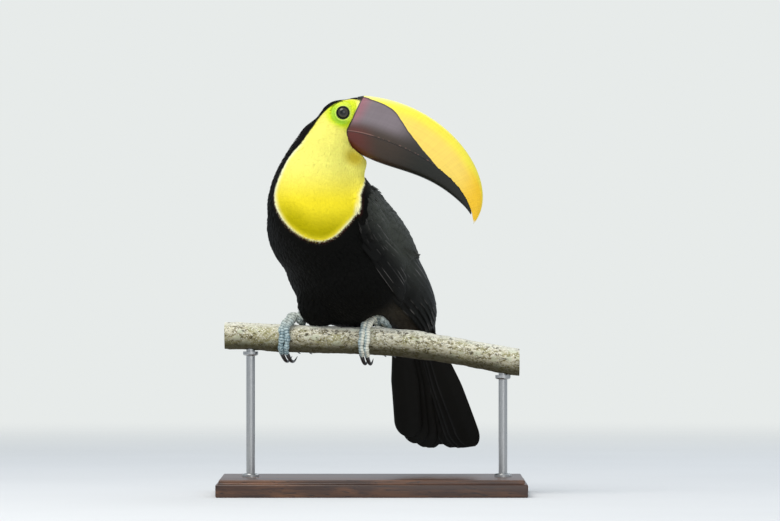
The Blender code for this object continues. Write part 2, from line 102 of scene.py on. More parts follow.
def trunkAxesMatrix():
    pitch = math.radians(attitude["trunkPitch"])
    yaw = math.radians(attitude["trunkYaw"])
    forward = Vector((-math.cos(pitch) * math.sin(yaw), -math.cos(pitch) * math.cos(yaw), math.sin(pitch)))
    left = Vector((math.cos(yaw), -math.sin(yaw), 0))
    turn = Matrix((forward, left, forward.cross(left))).transposed().to_4x4()
    place = Vector((0, 0, perchHeight(0))) + Vector(attitude["trunkFromPerch"])
    return Matrix.Translation(place) @ turn


headAxes = headAxesMatrix()
trunkAxes = trunkAxesMatrix()


def inAxes(axes, points):
    # world points (n, 3) in millimetres of some axes
    turn = np.array(axes.to_3x3())
    return (np.asarray(points) - np.array(axes.translation)) @ turn * 1000


def outOfAxes(axes, points):
    turn = np.array(axes.to_3x3())
    return np.asarray(points) / 1000 @ turn.T + np.array(axes.translation)


# Camera, light and floor.

studio = {
    "lens": 300,
    "sensor": 36,
    "distance": 6.75,
    "aim": (0.0187, 0.0, 0.2427),
    "backdrop": (0.80, 0.83, 0.82),
    "skyLight": (0.82, 0.91, 1.0),
    "skyStrength": 0.62,
    "lamps": {                                  # place, size, power, colour
        "key": ((-0.75, -1.0, 2.1), 1.5, 33, (1.0, 0.98, 0.94)),
        "rim": ((0.9, 1.6, 1.9), 1.2, 9, (0.93, 0.97, 1.0)),
        "fill": ((0.6, -2.6, 0.9), 1.6, 10, (1.0, 1.0, 1.0)),
    },
    "floorSize": 40.0,
    "floorTone": (0.74, 0.80),
    "floorFade": (0.9, 3.2),                    # the floor melts into the backdrop between these distances
}


def feed(tree, node, inputs):
    # a socket is linked, anything else is the input's own value
    for key, value in inputs.items():
        if isinstance(value, bpy.types.NodeSocket):
            tree.links.new(value, node.inputs[key])
        else:
            node.inputs[key].default_value = value
    return node


def addNode(tree, kind, inputs=None, **settings):
    node = tree.nodes.new("ShaderNode" + kind)
    for key, value in settings.items():
        setattr(node, key, value)
    return feed(tree, node, inputs or {})


def readFloat(tree, label):
    return addNode(tree, "Attribute", attribute_name=label).outputs["Fac"]


def readColour(tree, label):
    return addNode(tree, "Attribute", attribute_name=label).outputs["Color"]


def split(tree, value):
    return addNode(tree, "SeparateXYZ", {0: value}).outputs


def mapPlace(tree, label="wrap"):
    return addNode(tree, "UVMap", uv_map=label).outputs[0]


def ramp(tree, value, low, high, start=0.0, end=1.0, easing="SMOOTHSTEP"):
    return addNode(tree, "MapRange", {"Value": value, "From Min": low, "From Max": high, "To Min": start,
                                      "To Max": end}, interpolation_type=easing).outputs[0]


def band(tree, value, rise, fall):
    # rises over one stretch of values and falls over another
    return times(tree, ramp(tree, value, *rise), ramp(tree, value, *fall))


def compute(tree, operation, *values):
    return addNode(tree, "Math", dict(enumerate(values)), operation=operation).outputs[0]


def times(tree, value, factor):
    return compute(tree, "MULTIPLY", value, factor)


def timesPlus(tree, value, factor, more):
    return compute(tree, "MULTIPLY_ADD", value, factor, more)


def minus(tree, value, less):
    return compute(tree, "SUBTRACT", value, less)


def mixColour(tree, share, first, second):
    # colours are sockets or plain (red, green, blue)
    first, second = (c if isinstance(c, bpy.types.NodeSocket) else (*c, 1) for c in (first, second))
    return addNode(tree, "Mix", {0: share, 6: first, 7: second}, data_type="RGBA").outputs[2]


def stain(tree, base, share, most, colour):
    return mixColour(tree, times(tree, share, most), base, colour)


def shadeBy(tree, colour, gain):
    return addNode(tree, "VectorMath", {0: colour, "Scale": gain}, operation="SCALE").outputs[0]


def scaleVector(tree, value, scale):
    return addNode(tree, "VectorMath", {0: value, 1: scale}, operation="MULTIPLY").outputs[0]


def noiseAt(tree, spot, scale, detail=4.0, roughness=0.5):
    return addNode(tree, "TexNoise", {"Vector": spot, "Scale": scale, "Detail": detail,
                                      "Roughness": roughness}).outputs[0]


def objectPlace(tree):
    return addNode(tree, "TexCoord").outputs["Object"]


def finishMaterial(tree, shader, base, rough, height, strength, distance):
    # colour, roughness and relief of a finished material
    tree.links.new(base, shader.inputs["Base Color"])
    if rough is not None:
        tree.links.new(rough, shader.inputs["Roughness"])
    bump = addNode(tree, "Bump", {"Strength": strength, "Distance": distance, "Height": height})
    tree.links.new(bump.outputs[0], shader.inputs["Normal"])


def stretched(tree, scale, detail=4.0):
    # noise drawn out along a piece, from its own wrapped map
    return noiseAt(tree, scaleVector(tree, mapPlace(tree), scale), 1.0, detail, 0.55)


def plainNoise(tree, scale, detail=4.0):
    return noiseAt(tree, objectPlace(tree), scale, detail, 0.55)


def areaLight(name, place, size, power, colour):
    light = bpy.data.lights.new(name, "AREA")
    light.size = size
    light.energy = power
    light.color = colour
    lamp = bpy.data.objects.new(name, light)
    lamp.location = place
    aim = Vector(studio["aim"]) - Vector(place)
    lamp.rotation_euler = aim.to_track_quat("-Z", "Y").to_euler()
    lamp.visible_camera = False
    scene.collection.objects.link(lamp)


def buildStudio():
    camera = bpy.data.objects.new("camera", bpy.data.cameras.new("camera"))
    scene.collection.objects.link(camera)
    camera.data.lens = studio["lens"]
    camera.data.sensor_width = studio["sensor"]
    camera.data.clip_end = 60
    camera.location = Vector(studio["aim"]) - Vector((0, studio["distance"], 0))
    camera.rotation_euler = (math.pi / 2, 0, 0)
    scene.camera = camera
    for name, lamp in studio["lamps"].items():
        areaLight(name, *lamp)
    world = bpy.data.worlds.new("studio")
    world.use_nodes = True
    scene.world = world
    tree = world.node_tree
    tree.nodes.clear()
    lit = addNode(tree, "Background", {"Color": (*studio["skyLight"], 1), "Strength": studio["skyStrength"]})
    seen = addNode(tree, "Background", {"Color": (*studio["backdrop"], 1), "Strength": 1.0})
    path = addNode(tree, "LightPath")
    mix = addNode(tree, "MixShader", {0: path.outputs["Is Camera Ray"], 1: lit.outputs[0],
                                      2: seen.outputs[0]})
    addNode(tree, "OutputWorld", {"Surface": mix.outputs[0]})
    buildFloor()


def buildFloor():
    bm = bmesh.new()
    bmesh.ops.create_grid(bm, x_segments=1, y_segments=1, size=studio["floorSize"])
    mesh = bpy.data.meshes.new("floor")
    bm.to_mesh(mesh)
    bm.free()
    floor = bpy.data.objects.new("floor", mesh)
    scene.collection.objects.link(floor)
    material = bpy.data.materials.new("paleFloor")
    material.use_nodes = True
    tree = material.node_tree
    tree.nodes.clear()
    where = objectPlace(tree)
    far = addNode(tree, "VectorMath", {0: where}, operation="LENGTH").outputs["Value"]
    fade = ramp(tree, far, *studio["floorFade"])
    tone = ramp(tree, noiseAt(tree, where, 3.0), 0.0, 1.0, *studio["floorTone"], "LINEAR")
    matt = addNode(tree, "BsdfDiffuse", {"Color": tone})
    clear = addNode(tree, "BsdfTransparent")
    mix = addNode(tree, "MixShader", {0: fade, 1: matt.outputs[0], 2: clear.outputs[0]})
    addNode(tree, "OutputMaterial", {"Surface": mix.outputs[0]})
    mesh.materials.append(material)


# Pieces and their finishes.

def link(name, mesh, material):
    piece = bpy.data.objects.new(name, mesh)
    scene.collection.objects.link(piece)
    mesh.materials.clear()
    mesh.materials.append(material)
    return piece


def settle(piece, nodes=()):
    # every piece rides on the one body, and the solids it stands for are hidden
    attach(piece, "root")
    if nodes:
        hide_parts(*nodes)
    return piece


def meshFrom(name, bm, sharpAngle=None):
    mesh = bpy.data.meshes.new(name)
    bm.to_mesh(mesh)
    bm.free()
    mesh.shade_smooth()
    if sharpAngle:
        mesh.set_sharp_from_angle(angle=math.radians(sharpAngle))
    return mesh


def newMaterial(name, settings):
    material = bpy.data.materials.new(name)
    material.use_nodes = True
    shader = material.node_tree.nodes["Principled BSDF"]
    for key, value in settings.items():
        shader.inputs[key].default_value = value
    return material, material.node_tree, shader


def newGroup(name, inputs, outputs):
    group = bpy.data.node_groups.new(name, "ShaderNodeTree")
    for label, kind, default in inputs:
        socket = group.interface.new_socket(label, in_out="INPUT", socket_type="NodeSocket" + kind)
        if default is not None:
            socket.default_value = default
    for label, kind in outputs:
        group.interface.new_socket(label, in_out="OUTPUT", socket_type="NodeSocket" + kind)
    return group, group.nodes.new("NodeGroupInput"), group.nodes.new("NodeGroupOutput")


def useGroup(tree, group, inputs):
    node = tree.nodes.new("ShaderNodeGroup")
    node.node_tree = group
    return feed(tree, node, inputs)


def srgb(red, green, blue):
    def straight(level):
        level /= 255
        return level / 12.92 if level <= 0.04045 else ((level + 0.055) / 1.055) ** 2.4
    return np.array([straight(red), straight(green), straight(blue)])


def smoothStep(low, high, value):
    share = np.clip((value - low) / (high - low), 0, 1)
    return share * share * (3 - 2 * share)


def blendTo(colours, other, share):
    return colours + (np.asarray(other) - colours) * share[:, None]


def tinted(palette, colours, steps):
    # named colours blended over one another, each by its own share
    for name, share in steps.items():
        colours = blendTo(colours, palette[name], share)
    return colours


def roundOff(outline, rounds=2):
    # corner cutting, so that a few points give a smooth outline
    points = np.array(outline, float)
    for _ in range(rounds):
        after = np.roll(points, -1, axis=0)
        cut = np.empty((len(points) * 2, 2))
        cut[0::2] = points * 0.75 + after * 0.25
        cut[1::2] = points * 0.25 + after * 0.75
        points = cut
    return points


def ovalArc(middle, reach, first, last, steps):
    # points of an oval from one angle to another, in degrees
    points = []
    for step in range(steps + 1):
        angle = math.radians(first + (last - first) * step / steps)
        points.append((middle[0] + reach[0] * math.cos(angle), middle[1] + reach[1] * math.sin(angle)))
    return points


def insideBy(outline, x, y):
    # distance to a closed outline, positive inside it
    best = np.full(x.shape, 1e9)
    inside = np.zeros(x.shape, bool)
    for (ax, ay), (bx, by) in zip(outline, np.roll(outline, -1, axis=0)):
        ex, ey = bx - ax, by - ay
        share = np.clip(((x - ax) * ex + (y - ay) * ey) / (ex * ex + ey * ey + 1e-12), 0, 1)
        best = np.minimum(best, np.hypot(x - ax - share * ex, y - ay - share * ey))
        if ay != by:
            inside ^= ((ay > y) != (by > y)) & (x < ax + (y - ay) * ex / ey)
    return np.where(inside, best, -best)


# Markings, shared by the skin and every feather.

marks = {
    # yellow of the head, in the head's axes (forward, up), mm: a quarter of an oval behind the eye,
    # then corners
    "faceMiddle": (-2, -12),
    "faceReach": (30, 46),
    "faceCorners": [(-33, -26), (-38, -44), (-38, -90), (60, -90), (60, 35)],
    # bib below it, degrees round the neck from +X and height in mm: an oval hem, then corners
    "bibMiddle": (-94, 352),
    "bibDepth": 90,
    "bibReach": (64, 50),                       # of the oval to the bird's right and left, degrees
    "bibLeaves": 304,                           # where the oval goes over into a straight edge
    "bibCorners": [(-12, 335), (45, 354), (80, 362), (125, 382), (125, 440), (-97, 440), (-97, 391),
                   (-146, 381), (-141, 371)],
    "edgeSteps": 12,                            # points along each arc
    "degree": 0.80,                             # mm to a degree round the neck
    "neckAxis": [(290, -50, -13), (310, -63, -21), (338, -54, -30), (359, -47, -37), (386, -34, -38)],
    "lemon": srgb(255, 245, 118),
    "deepYellow": srgb(250, 228, 44),
    # painted shade at the bottom of the bib
    "paintedBibShade": srgb(190, 176, 2),
    "throatShade": srgb(196, 168, 8),
    "rim": srgb(255, 253, 214),
    "redBand": srgb(50, 15, 12),
    "bareGreen": srgb(160, 206, 22),
    "bareYellow": srgb(228, 240, 52),
    "black": srgb(11, 11, 9),
    "napeBlack": srgb(18, 15, 13),
    # painted sheen on the upper wing and the back, greyer than the plumage's own black
    "paintedWingSheen": srgb(66, 68, 61),
    "flankBrown": srgb(66, 60, 50),
    "rumpWhite": srgb(240, 234, 206),
    "ventRed": srgb(170, 24, 16),
    "tailBlack": srgb(21, 21, 18),
}


def makeFaceOutline():
    back = ovalArc(marks["faceMiddle"], marks["faceReach"], 90, 180, marks["edgeSteps"])
    return roundOff(back + marks["faceCorners"])


def makeBibOutline():
    middle, depth, steps = marks["bibMiddle"], marks["bibDepth"], marks["edgeSteps"]
    right, left = marks["bibReach"]
    hem = ovalArc(middle, (right, depth), 180, 270, steps)
    hem += ovalArc(middle, (left, depth), 270, marks["bibLeaves"], steps)[1:]
    return roundOff([(turn * marks["degree"], high) for turn, high in hem + marks["bibCorners"]])


faceOutline = makeFaceOutline()
bibOutline = makeBibOutline()


def roundNeck(points):
    # degrees round the neck's axis from +X, and height, in mm
    axis = np.array(marks["neckAxis"], float)
    high = points[:, 2] * 1000
    across = points[:, 0] * 1000 - np.interp(high, axis[:, 0], axis[:, 1])
    deep = points[:, 1] * 1000 - np.interp(high, axis[:, 0], axis[:, 2])
    return np.degrees(np.arctan2(deep, across)), high, np.hypot(across, deep)


def yellowBy(points):
    # mm inside the yellow, less than nothing outside it
    head = inAxes(headAxes, points)
    face = insideBy(faceOutline, head[:, 0], head[:, 2])
    turn, high, out = roundNeck(points)
    bib = insideBy(bibOutline, turn * marks["degree"], high)
    bib = np.where(out > 82, -30.0, bib)
    share = smoothStep(-38, -8, head[:, 2])
    near = np.linalg.norm(head - (-12, 0, 4), axis=1) < 75
    return np.where(near, bib + (face - bib) * share, bib)


def eyeDistance(points):
    head = inAxes(headAxes, points)
    ahead, high = (1000 * attitude["eyesFromGape"][k] for k in (0, 2))
    return np.hypot(head[:, 0] - ahead, head[:, 2] - high), head


def roundTrunk(trunk):
    # degrees round the trunk from level, positive towards the back
    return np.degrees(np.arctan2(trunk[:, 2] - 1000 * attitude["wingCore"], np.abs(trunk[:, 1])))


def wingSheenShare(trunk):
    # painted sheen: 1 on the sunlit shoulder, less towards the wing's lower edge and its long feathers
    along = trunk[:, 0]
    shoulder = smoothStep(-24, 8, roundTrunk(trunk))
    return shoulder * (1 - 0.9 * smoothStep(0, -90, along)) * smoothStep(100, 30, along)


def colourAt(points, wing=False):
    points = np.asarray(points, float)
    inside = yellowBy(points)
    trunk = inAxes(trunkAxes, points)
    turn, high = roundNeck(points)[:2]
    colours = np.tile(marks["black"], (len(points), 1))
    if wing:
        # painted sheen on the wing
        colours = blendTo(colours, marks["paintedWingSheen"], wingSheenShare(trunk))
    else:
        back = smoothStep(10, 34, trunk[:, 2]) * smoothStep(350, 318, high)
        below = roundTrunk(trunk)
        flank = smoothStep(-42, -80, trunk[:, 0]) * smoothStep(-26, -40, below) * smoothStep(-80, -60, below)
        vent = smoothStep(-98, -104, trunk[:, 0]) * smoothStep(-2, -8, trunk[:, 2])
        colours = tinted(marks, colours, {
            # painted sheen on the back, as on the wing
            "paintedWingSheen": wingSheenShare(trunk) * back * 0.7,
            "napeBlack": smoothStep(300, 340, high),
            "flankBrown": flank,
            "rumpWhite": smoothStep(-70, -76, trunk[:, 0]) * smoothStep(2, 8, trunk[:, 2]),
            "ventRed": vent * smoothStep(166, 160, high),
        })
    redder = smoothStep(330, 300, high) * (0.4 + 0.6 * smoothStep(-45, -70, turn))
    red = smoothStep(-2.6, -1.4, inside) * smoothStep(0, -0.6, inside) * redder
    colours = blendTo(colours, marks["redBand"], red)
    # the bib's side towards -X, where the painted shade at its bottom reaches higher and the rim's painted
    # highlight is wider
    leftward = smoothStep(-95, -125, turn)
    # the rim's width: the bib's real white border, widened towards -X by a painted highlight
    broad = 3.4 + (6.6 * smoothStep(-85, -125, turn) - 1) * smoothStep(275, 320, high)
    broad = broad - 1.6 * smoothStep(276, 264, high)
    far, head = eyeDistance(points)
    under = np.hypot(head[:, 0] - 21, (head[:, 2] + 20) * 1.4)
    side = smoothStep(22, 14, far) * smoothStep(-6, 4, head[:, 2]) * smoothStep(6, 10, np.abs(head[:, 1]))
    greener = smoothStep(5, -7, (head[:, 2] - 14) + 0.35 * (head[:, 0] + 13))
    yellow = tinted(marks, np.tile(marks["lemon"], (len(points), 1)), {
        # paler lemon above and deeper yellow below: partly the bib's own colour, partly painted light from
        # above
        "deepYellow": smoothStep(345, 300, high),
        # painted shade: olive yellow towards the bottom of the bib
        "paintedBibShade": smoothStep(302, 270, high - 12 * leftward) * smoothStep(0.5, 7, inside),
        # the bib's real white rim, with a painted highlight where it is wide
        "rim": np.clip(1 - inside / broad, 0, 1) ** 1.6 * smoothStep(378, 350, high),
        "throatShade": smoothStep(17, 3, under) * 0.8,
        "bareYellow": side,
        "bareGreen": side * smoothStep(15.5, 10.5, far) * (0.15 + 0.85 * greener),
    })
    return blendTo(colours, yellow, smoothStep(-0.5, 0.5, inside))


# Flesh: one skin under the whole coat.

flesh = {
    "nodes": ["head", "neck", "trunk", "thigh_left", "thigh_right"],
    "wingNodes": ["wing_left_coverts", "wing_right_coverts"],
    "grow": 0.0004,                             # closes the thin cuts between the solids
    "voxel": 0.0015,
    "smoothing": 12,
    "outerVoxel": 0.0022,                       # for the surface that the wings lie on
    "outerSmoothing": 6,
    "unwrapShare": 0.04,                        # faces kept for the unwrap
    # fold by the left shoulder: its middle, the filling ball's radius and the reach of the smoothing
    "groove": ((-0.016, -0.041, 0.321), 0.0105, 0.026),
    "grooveRounds": 90,
    "socketDepth": 0.0035,
    "bareReach": 12.0,                          # mm round the eye without feathers
    "bareDepth": 0.0003,                        # from the feather tips down to the skin
    "faceDepth": 0.0014,
    "bodyDepth": 0.0042,
}


def evaluated(piece):
    # a mesh as the modifiers leave it
    graph = bpy.context.evaluated_depsgraph_get()
    return bpy.data.meshes.new_from_object(piece.evaluated_get(graph))


def takeResult(piece):
    result = evaluated(piece)
    bpy.data.objects.remove(piece, do_unlink=True)
    return result


def soften(piece, rounds):
    modifier = piece.modifiers.new("Soften", "SMOOTH")
    modifier.factor = 0.5
    modifier.iterations = rounds
    return modifier


def meltTogether(name, nodes, voxel, smoothing, grow):
    bm = bmesh.new()
    for node in nodes:
        bm.from_mesh(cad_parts[node].data)
    bmesh.ops.remove_doubles(bm, verts=bm.verts, dist=1e-6)
    middle, ball = flesh["groove"][:2]
    bmesh.ops.create_icosphere(bm, subdivisions=4, radius=ball, matrix=Matrix.Translation(middle))
    mesh = bpy.data.meshes.new(name)
    bm.to_mesh(mesh)
    bm.free()
    lump = bpy.data.objects.new(name, mesh)
    scene.collection.objects.link(lump)
    swell = lump.modifiers.new("Grow", "DISPLACE")
    swell.strength = grow
    swell.mid_level = 0
    melt = lump.modifiers.new("Melt", "REMESH")
    melt.mode = "VOXEL"
    melt.voxel_size = voxel
    soften(lump, smoothing)
    return takeResult(lump)


def easeGroove(mesh):
    # smooths the fold between the neck and the left shoulder
    middle, ball, reach = flesh["groove"]
    lump = bpy.data.objects.new("groove", mesh)
    scene.collection.objects.link(lump)
    group = lump.vertex_groups.new(name="groove")
    far = np.linalg.norm(pointsOf(mesh) - (middle[0], middle[1] - ball, middle[2]), axis=1)
    weights = smoothStep(reach, reach * 0.4, far)
    for index in np.flatnonzero(weights > 0):
        group.add([int(index)], float(weights[index]), "REPLACE")
    soften(lump, flesh["grooveRounds"]).vertex_group = "groove"
    return takeResult(lump)


def pointsOf(mesh):
    points = np.empty(len(mesh.vertices) * 3)
    mesh.vertices.foreach_get("co", points)
    return points.reshape(-1, 3)


def normalsOf(mesh):
    normals = np.empty(len(mesh.vertices) * 3)
    mesh.vertex_normals.foreach_get("vector", normals)
    return normals.reshape(-1, 3)


def paint(mesh, colours, label="coatColour"):
    layer = mesh.attributes.new(label, "FLOAT_COLOR", "POINT")
    layer.data.foreach_set("color", np.column_stack([colours, np.ones(len(colours))]).ravel())


def sizeFrom(points):
    # 0 at the bill's base, 1 on the trunk
    head = inAxes(headAxes, points)
    return smoothStep(14, 150, np.linalg.norm(head - (-6, 0, 8), axis=1))


def coatDepth(points):
    far, head = eyeDistance(points)
    depth = flesh["faceDepth"] + (flesh["bodyDepth"] - flesh["faceDepth"]) * sizeFrom(points) ** 0.7
    depth *= 1 - 0.5 * smoothStep(-1, 6, yellowBy(points))
    bare = smoothStep(13.5, 11, far) * smoothStep(5, 9, np.abs(head[:, 1]))
    return depth + (flesh["bareDepth"] - depth) * bare


print("melting the flesh together")
fleshNodes = flesh["nodes"] + flesh["wingNodes"]
quillNodes = ["wing_left_quills", "wing_right_quills"]
coatMesh = meltTogether("coatSurface", fleshNodes + ["eye_left", "eye_right"], flesh["voxel"],
                        flesh["smoothing"], flesh["grow"])
coatMesh = easeGroove(coatMesh)
coatTree = treeFrom(coatMesh)
outerTree = treeFrom(meltTogether("outerSurface", fleshNodes + quillNodes, flesh["outerVoxel"],
                                  flesh["outerSmoothing"], flesh["grow"]))
quillTree = treeOf(quillNodes)
wingArmTree = treeOf(flesh["wingNodes"])
footTree = treeOf(["foot_left", "foot_right", "perch"])


def makeSkin(material):
    mesh = coatMesh.copy()
    mesh.name = "skin"
    points, normals = pointsOf(mesh), normalsOf(mesh)
    colours = colourAt(points)
    points = points - normals * coatDepth(points)[:, None]
    far, head = eyeDistance(points)
    socket = smoothStep(7.6, 5.5, far) * smoothStep(4, 8, np.abs(head[:, 1]))
    points = points - normals * (socket * flesh["socketDepth"])[:, None]
    mesh.vertices.foreach_set("co", points.ravel())
    paint(mesh, colours)
    mesh.shade_smooth()
    mesh.update()
    return settle(link("skin", mesh, material), fleshNodes)


# An unwrap of the skin's own shape gives each feather its place on the baked sheet.

def unwrapSkin():
    mesh = coatMesh.copy()
    sheet = bpy.data.objects.new("unwrap", mesh)
    scene.collection.objects.link(sheet)
    thin = sheet.modifiers.new("Thin", "DECIMATE")
    thin.ratio = flesh["unwrapShare"]
    small = evaluated(sheet)
    sheet.modifiers.clear()
    sheet.data = small
    for other in bpy.context.selected_objects:
        other.select_set(False)
    sheet.select_set(True)
    bpy.context.view_layer.objects.active = sheet
    bpy.ops.object.mode_set(mode="EDIT")
    bpy.ops.mesh.select_all(action="SELECT")
    bpy.ops.uv.smart_project(angle_limit=math.radians(66), island_margin=0.004)
    bpy.ops.object.mode_set(mode="OBJECT")
    points = pointsOf(small)
    layer = small.uv_layers.active.data
    corners = [[tuple(layer[i].uv) for i in face.loop_indices] for face in small.polygons]
    faces = [tuple(face.vertices) for face in small.polygons]
    bpy.data.objects.remove(sheet, do_unlink=True)
    return points, faces, corners, BVHTree.FromPolygons(points.tolist(), faces)


unwrapped = unwrapSkin()


def placeOnUnwrap(roots):
    points, faces, corners, tree = unwrapped
    places = np.empty((len(roots), 2))
    for k, root in enumerate(roots):
        place, normal, index, distance = tree.find_nearest(Vector(root))
        corner = [Vector(points[i]) for i in faces[index][:3]]
        flat = [Vector((u, v, 0)) for u, v in corners[index][:3]]
        spot = barycentric_transform(place, *corner, *flat)
        places[k] = spot.x, spot.y
    return places


# The lie of the coat: which way a feather points from each place on the body.

def bothSides(axes, place, direction, reach):
    def mirrored(spot):
        return spot[0], -spot[1], spot[2]
    return [(axes, place, direction, reach), (axes, mirrored(place), mirrored(direction), reach)]


lie = [  # axes, place in mm, direction, reach in mm
    (headAxes, (0, 0, 36), (-1, 0, 0.25), 12),
    (headAxes, (-14, 0, 30), (-1, 0, -0.15), 14),
    (headAxes, (-28, 0, 14), (-0.8, 0, -0.7), 16),
    *bothSides(headAxes, (-2, 20, 12), (-1, 0, -0.25), 10),
    *bothSides(headAxes, (-18, 22, 4), (-0.75, 0, -0.75), 12),
    *bothSides(headAxes, (0, 18, -8), (-0.6, 0, -0.9), 12),
    (headAxes, (18, 0, -40), (-0.55, 0, -0.9), 16),
    (headAxes, (-45, 0, -22), (-0.45, 0, -0.95), 22),
    (headAxes, (0, -25, -55), (-0.1, 0, -1), 26),
    (trunkAxes, (60, 0, 20), (-0.75, 0, 0.35), 30),
    (trunkAxes, (62, 0, -28), (-0.85, 0, -0.55), 30),
    (trunkAxes, (25, 0, -55), (-1, 0, -0.25), 34),
    *bothSides(trunkAxes, (0, 45, -20), (-1, 0.05, -0.1), 34),
    (trunkAxes, (0, 0, 50), (-1, 0, 0), 34),
    (trunkAxes, (-40, 0, -40), (-1, 0, 0.15), 34),
    (trunkAxes, (-90, 0, 0), (-1, 0, 0), 40),
]


def lieAt(points):
    total = np.zeros((len(points), 3))
    for axes, place, direction, reach in lie:
        spot = np.array(axes @ (Vector(place) / 1000))
        way = np.array((axes.to_3x3() @ Vector(direction)).normalized())
        near = np.exp(-((np.linalg.norm(points - spot, axis=1) * 1000 / reach) ** 2) / 2) + 1e-9
        total += near[:, None] * way
    return total


def onSurface(tree, points):
    places = np.empty((len(points), 3))
    normals = np.empty((len(points), 3))
    for k, point in enumerate(points):
        place, normal, index, distance = tree.find_nearest(Vector(point))
        places[k] = place
        normals[k] = normal
    return places, normals


def unit(vectors):
    return vectors / np.maximum(np.linalg.norm(vectors, axis=-1, keepdims=True), 1e-12)


def flatTo(normals, vectors):
    return unit(vectors - normals * (vectors * normals).sum(-1, keepdims=True))


# Feather shapes, each a closed blade: x across, y from root to tip, z its thickness.

def shapeOf(bm):
    bm.verts.index_update()
    points = np.array([v.co for v in bm.verts])
    faces = [[v.index for v in face.verts] for face in bm.faces]
    bm.free()
    loops = np.concatenate(faces)
    counts = np.array([len(face) for face in faces])
    return {"points": points, "loops": loops, "counts": counts}


def plumeShape(rows):
    # three-sided blade with its ridge on top, from (share of length, share of width) rows
    bm = bmesh.new()
    bmesh.ops.create_cone(bm, cap_ends=True, segments=3, radius1=1, radius2=1, depth=1)
    bmesh.ops.translate(bm, verts=bm.verts, vec=(0, 0, 0.5))
    step = 1 / (len(rows) - 1)
    for k in range(1, len(rows) - 1):
        bmesh.ops.bisect_plane(bm, geom=bm.verts[:] + bm.edges[:] + bm.faces[:], plane_co=(0, 0, k * step),
                               plane_no=(0, 0, 1))
    ridge = max(v.co.y for v in bm.verts)
    for v in bm.verts:
        along, width = rows[round(v.co.z / step)]
        top = v.co.y > ridge - 0.01
        side = 0 if top else math.copysign(0.5, v.co.x)
        v.co = (side * width, along, 0.6 * width if top else 0)
    bmesh.ops.recalc_face_normals(bm, faces=bm.faces)
    return shapeOf(bm)


def quillShape(across, along, outline, shaft=1.6):
    # broad vane with a raised shaft, its width from an outline of the share of length
    bm = bmesh.new()
    bmesh.ops.create_grid(bm, x_segments=across, y_segments=along, size=1)
    for v in bm.verts:
        share = (v.co.y + 1) / 2
        share = 1 - (1 - share) ** 1.25
        v.co = (v.co.x / 2 * outline(share), share, 0)
    bmesh.ops.solidify(bm, geom=bm.faces[:], thickness=1)
    bmesh.ops.recalc_face_normals(bm, faces=bm.faces)
    low = min(v.co.z for v in bm.verts)
    for v in bm.verts:
        edge = abs(v.co.x) * 2 / max(outline(v.co.y), 1e-6)
        v.co.z = (v.co.z - low) * (1 - 0.6 * edge)
        if abs(v.co.x) < 1e-6:
            v.co.z *= 1 + shaft * (1 - v.co.y)
    return shapeOf(bm)


def vaneOutline(start, swell, tipFrom, tipLength, power):
    # width by share of the length: grows from the root, rounds off at the tip
    def outline(share):
        tip = max(0.0, (share - tipFrom) / tipLength) ** power
        return min(1.0, start + swell * share) * math.sqrt(max(0.0, 1 - tip)) + 0.02
    return outline


roundedVane = vaneOutline(0.32, 2.6, 0.86, 0.145, 2.4)
broadVane = vaneOutline(0.40, 1.1, 0.87, 0.133, 2.2)
shapes = {
    "wisp": plumeShape([(0, 0.35), (0.3, 0.9), (0.62, 1.0), (0.86, 0.7), (1.0, 0.1)]),
    "plume": plumeShape([(0, 0.3), (0.25, 0.8), (0.55, 1.0), (0.78, 0.92), (0.92, 0.6), (1.0, 0.14)]),
    "covert": quillShape(4, 7, roundedVane, 0.8),
    "longCovert": quillShape(6, 16, roundedVane, 1.2),
    "quill": quillShape(8, 40, roundedVane),
    "rectrix": quillShape(10, 44, broadVane),
}


def lineWalk(roots, normals, lengths, steps, random, wander):
    # each feather's spine follows the body from its root
    lines = np.empty((steps + 1, len(roots), 3))
    ups = np.empty_like(lines)
    place, up = roots, normals
    heading = flatTo(up, lieAt(place))
    swing = random.normal(0, wander, len(roots))[:, None]
    heading = unit(heading * np.cos(swing) + np.cross(up, heading) * np.sin(swing))
    for k in range(steps + 1):
        lines[k], ups[k] = place, up
        if k < steps:
            place, up = onSurface(coatTree, place + heading * (lengths / steps)[:, None])
            up = unit(up + ups[k])
            heading = flatTo(up, heading * 2 + flatTo(up, lieAt(place)))
    return lines, ups


def bendShape(shape, lines, ups, widths, thickness, cup=0.0, tilt=0.0, heights=None):
    # bends one flat shape along every spine; arrays run (vertex, feather, xyz)
    steps = len(lines) - 1
    points = shape["points"]
    along = np.clip(points[:, 1], 0, 1) * steps
    first = np.minimum(along.astype(int), steps - 1)
    share = (along - first)[:, None, None]
    centre = lines[first] * (1 - share) + lines[first + 1] * share
    up = unit(ups[first] * (1 - share) + ups[first + 1] * share)
    slope = np.gradient(lines, axis=0)
    way = unit(slope[first] * (1 - share) + slope[first + 1] * share)
    across = unit(np.cross(way, up))
    side = points[:, 0][:, None, None]
    width = widths[None, :, None]
    rise = points[:, 2][:, None, None] * thickness - cup * width * (2 * side) ** 2
    rise = rise + np.asarray(tilt).reshape(1, -1, 1) * side * width
    if heights is not None:
        level = heights[first] * (1 - share[..., 0]) + heights[first + 1] * share[..., 0]
        rise = rise + level[..., None]
    return centre + across * side * width + up * rise, np.broadcast_to(up, centre.shape)


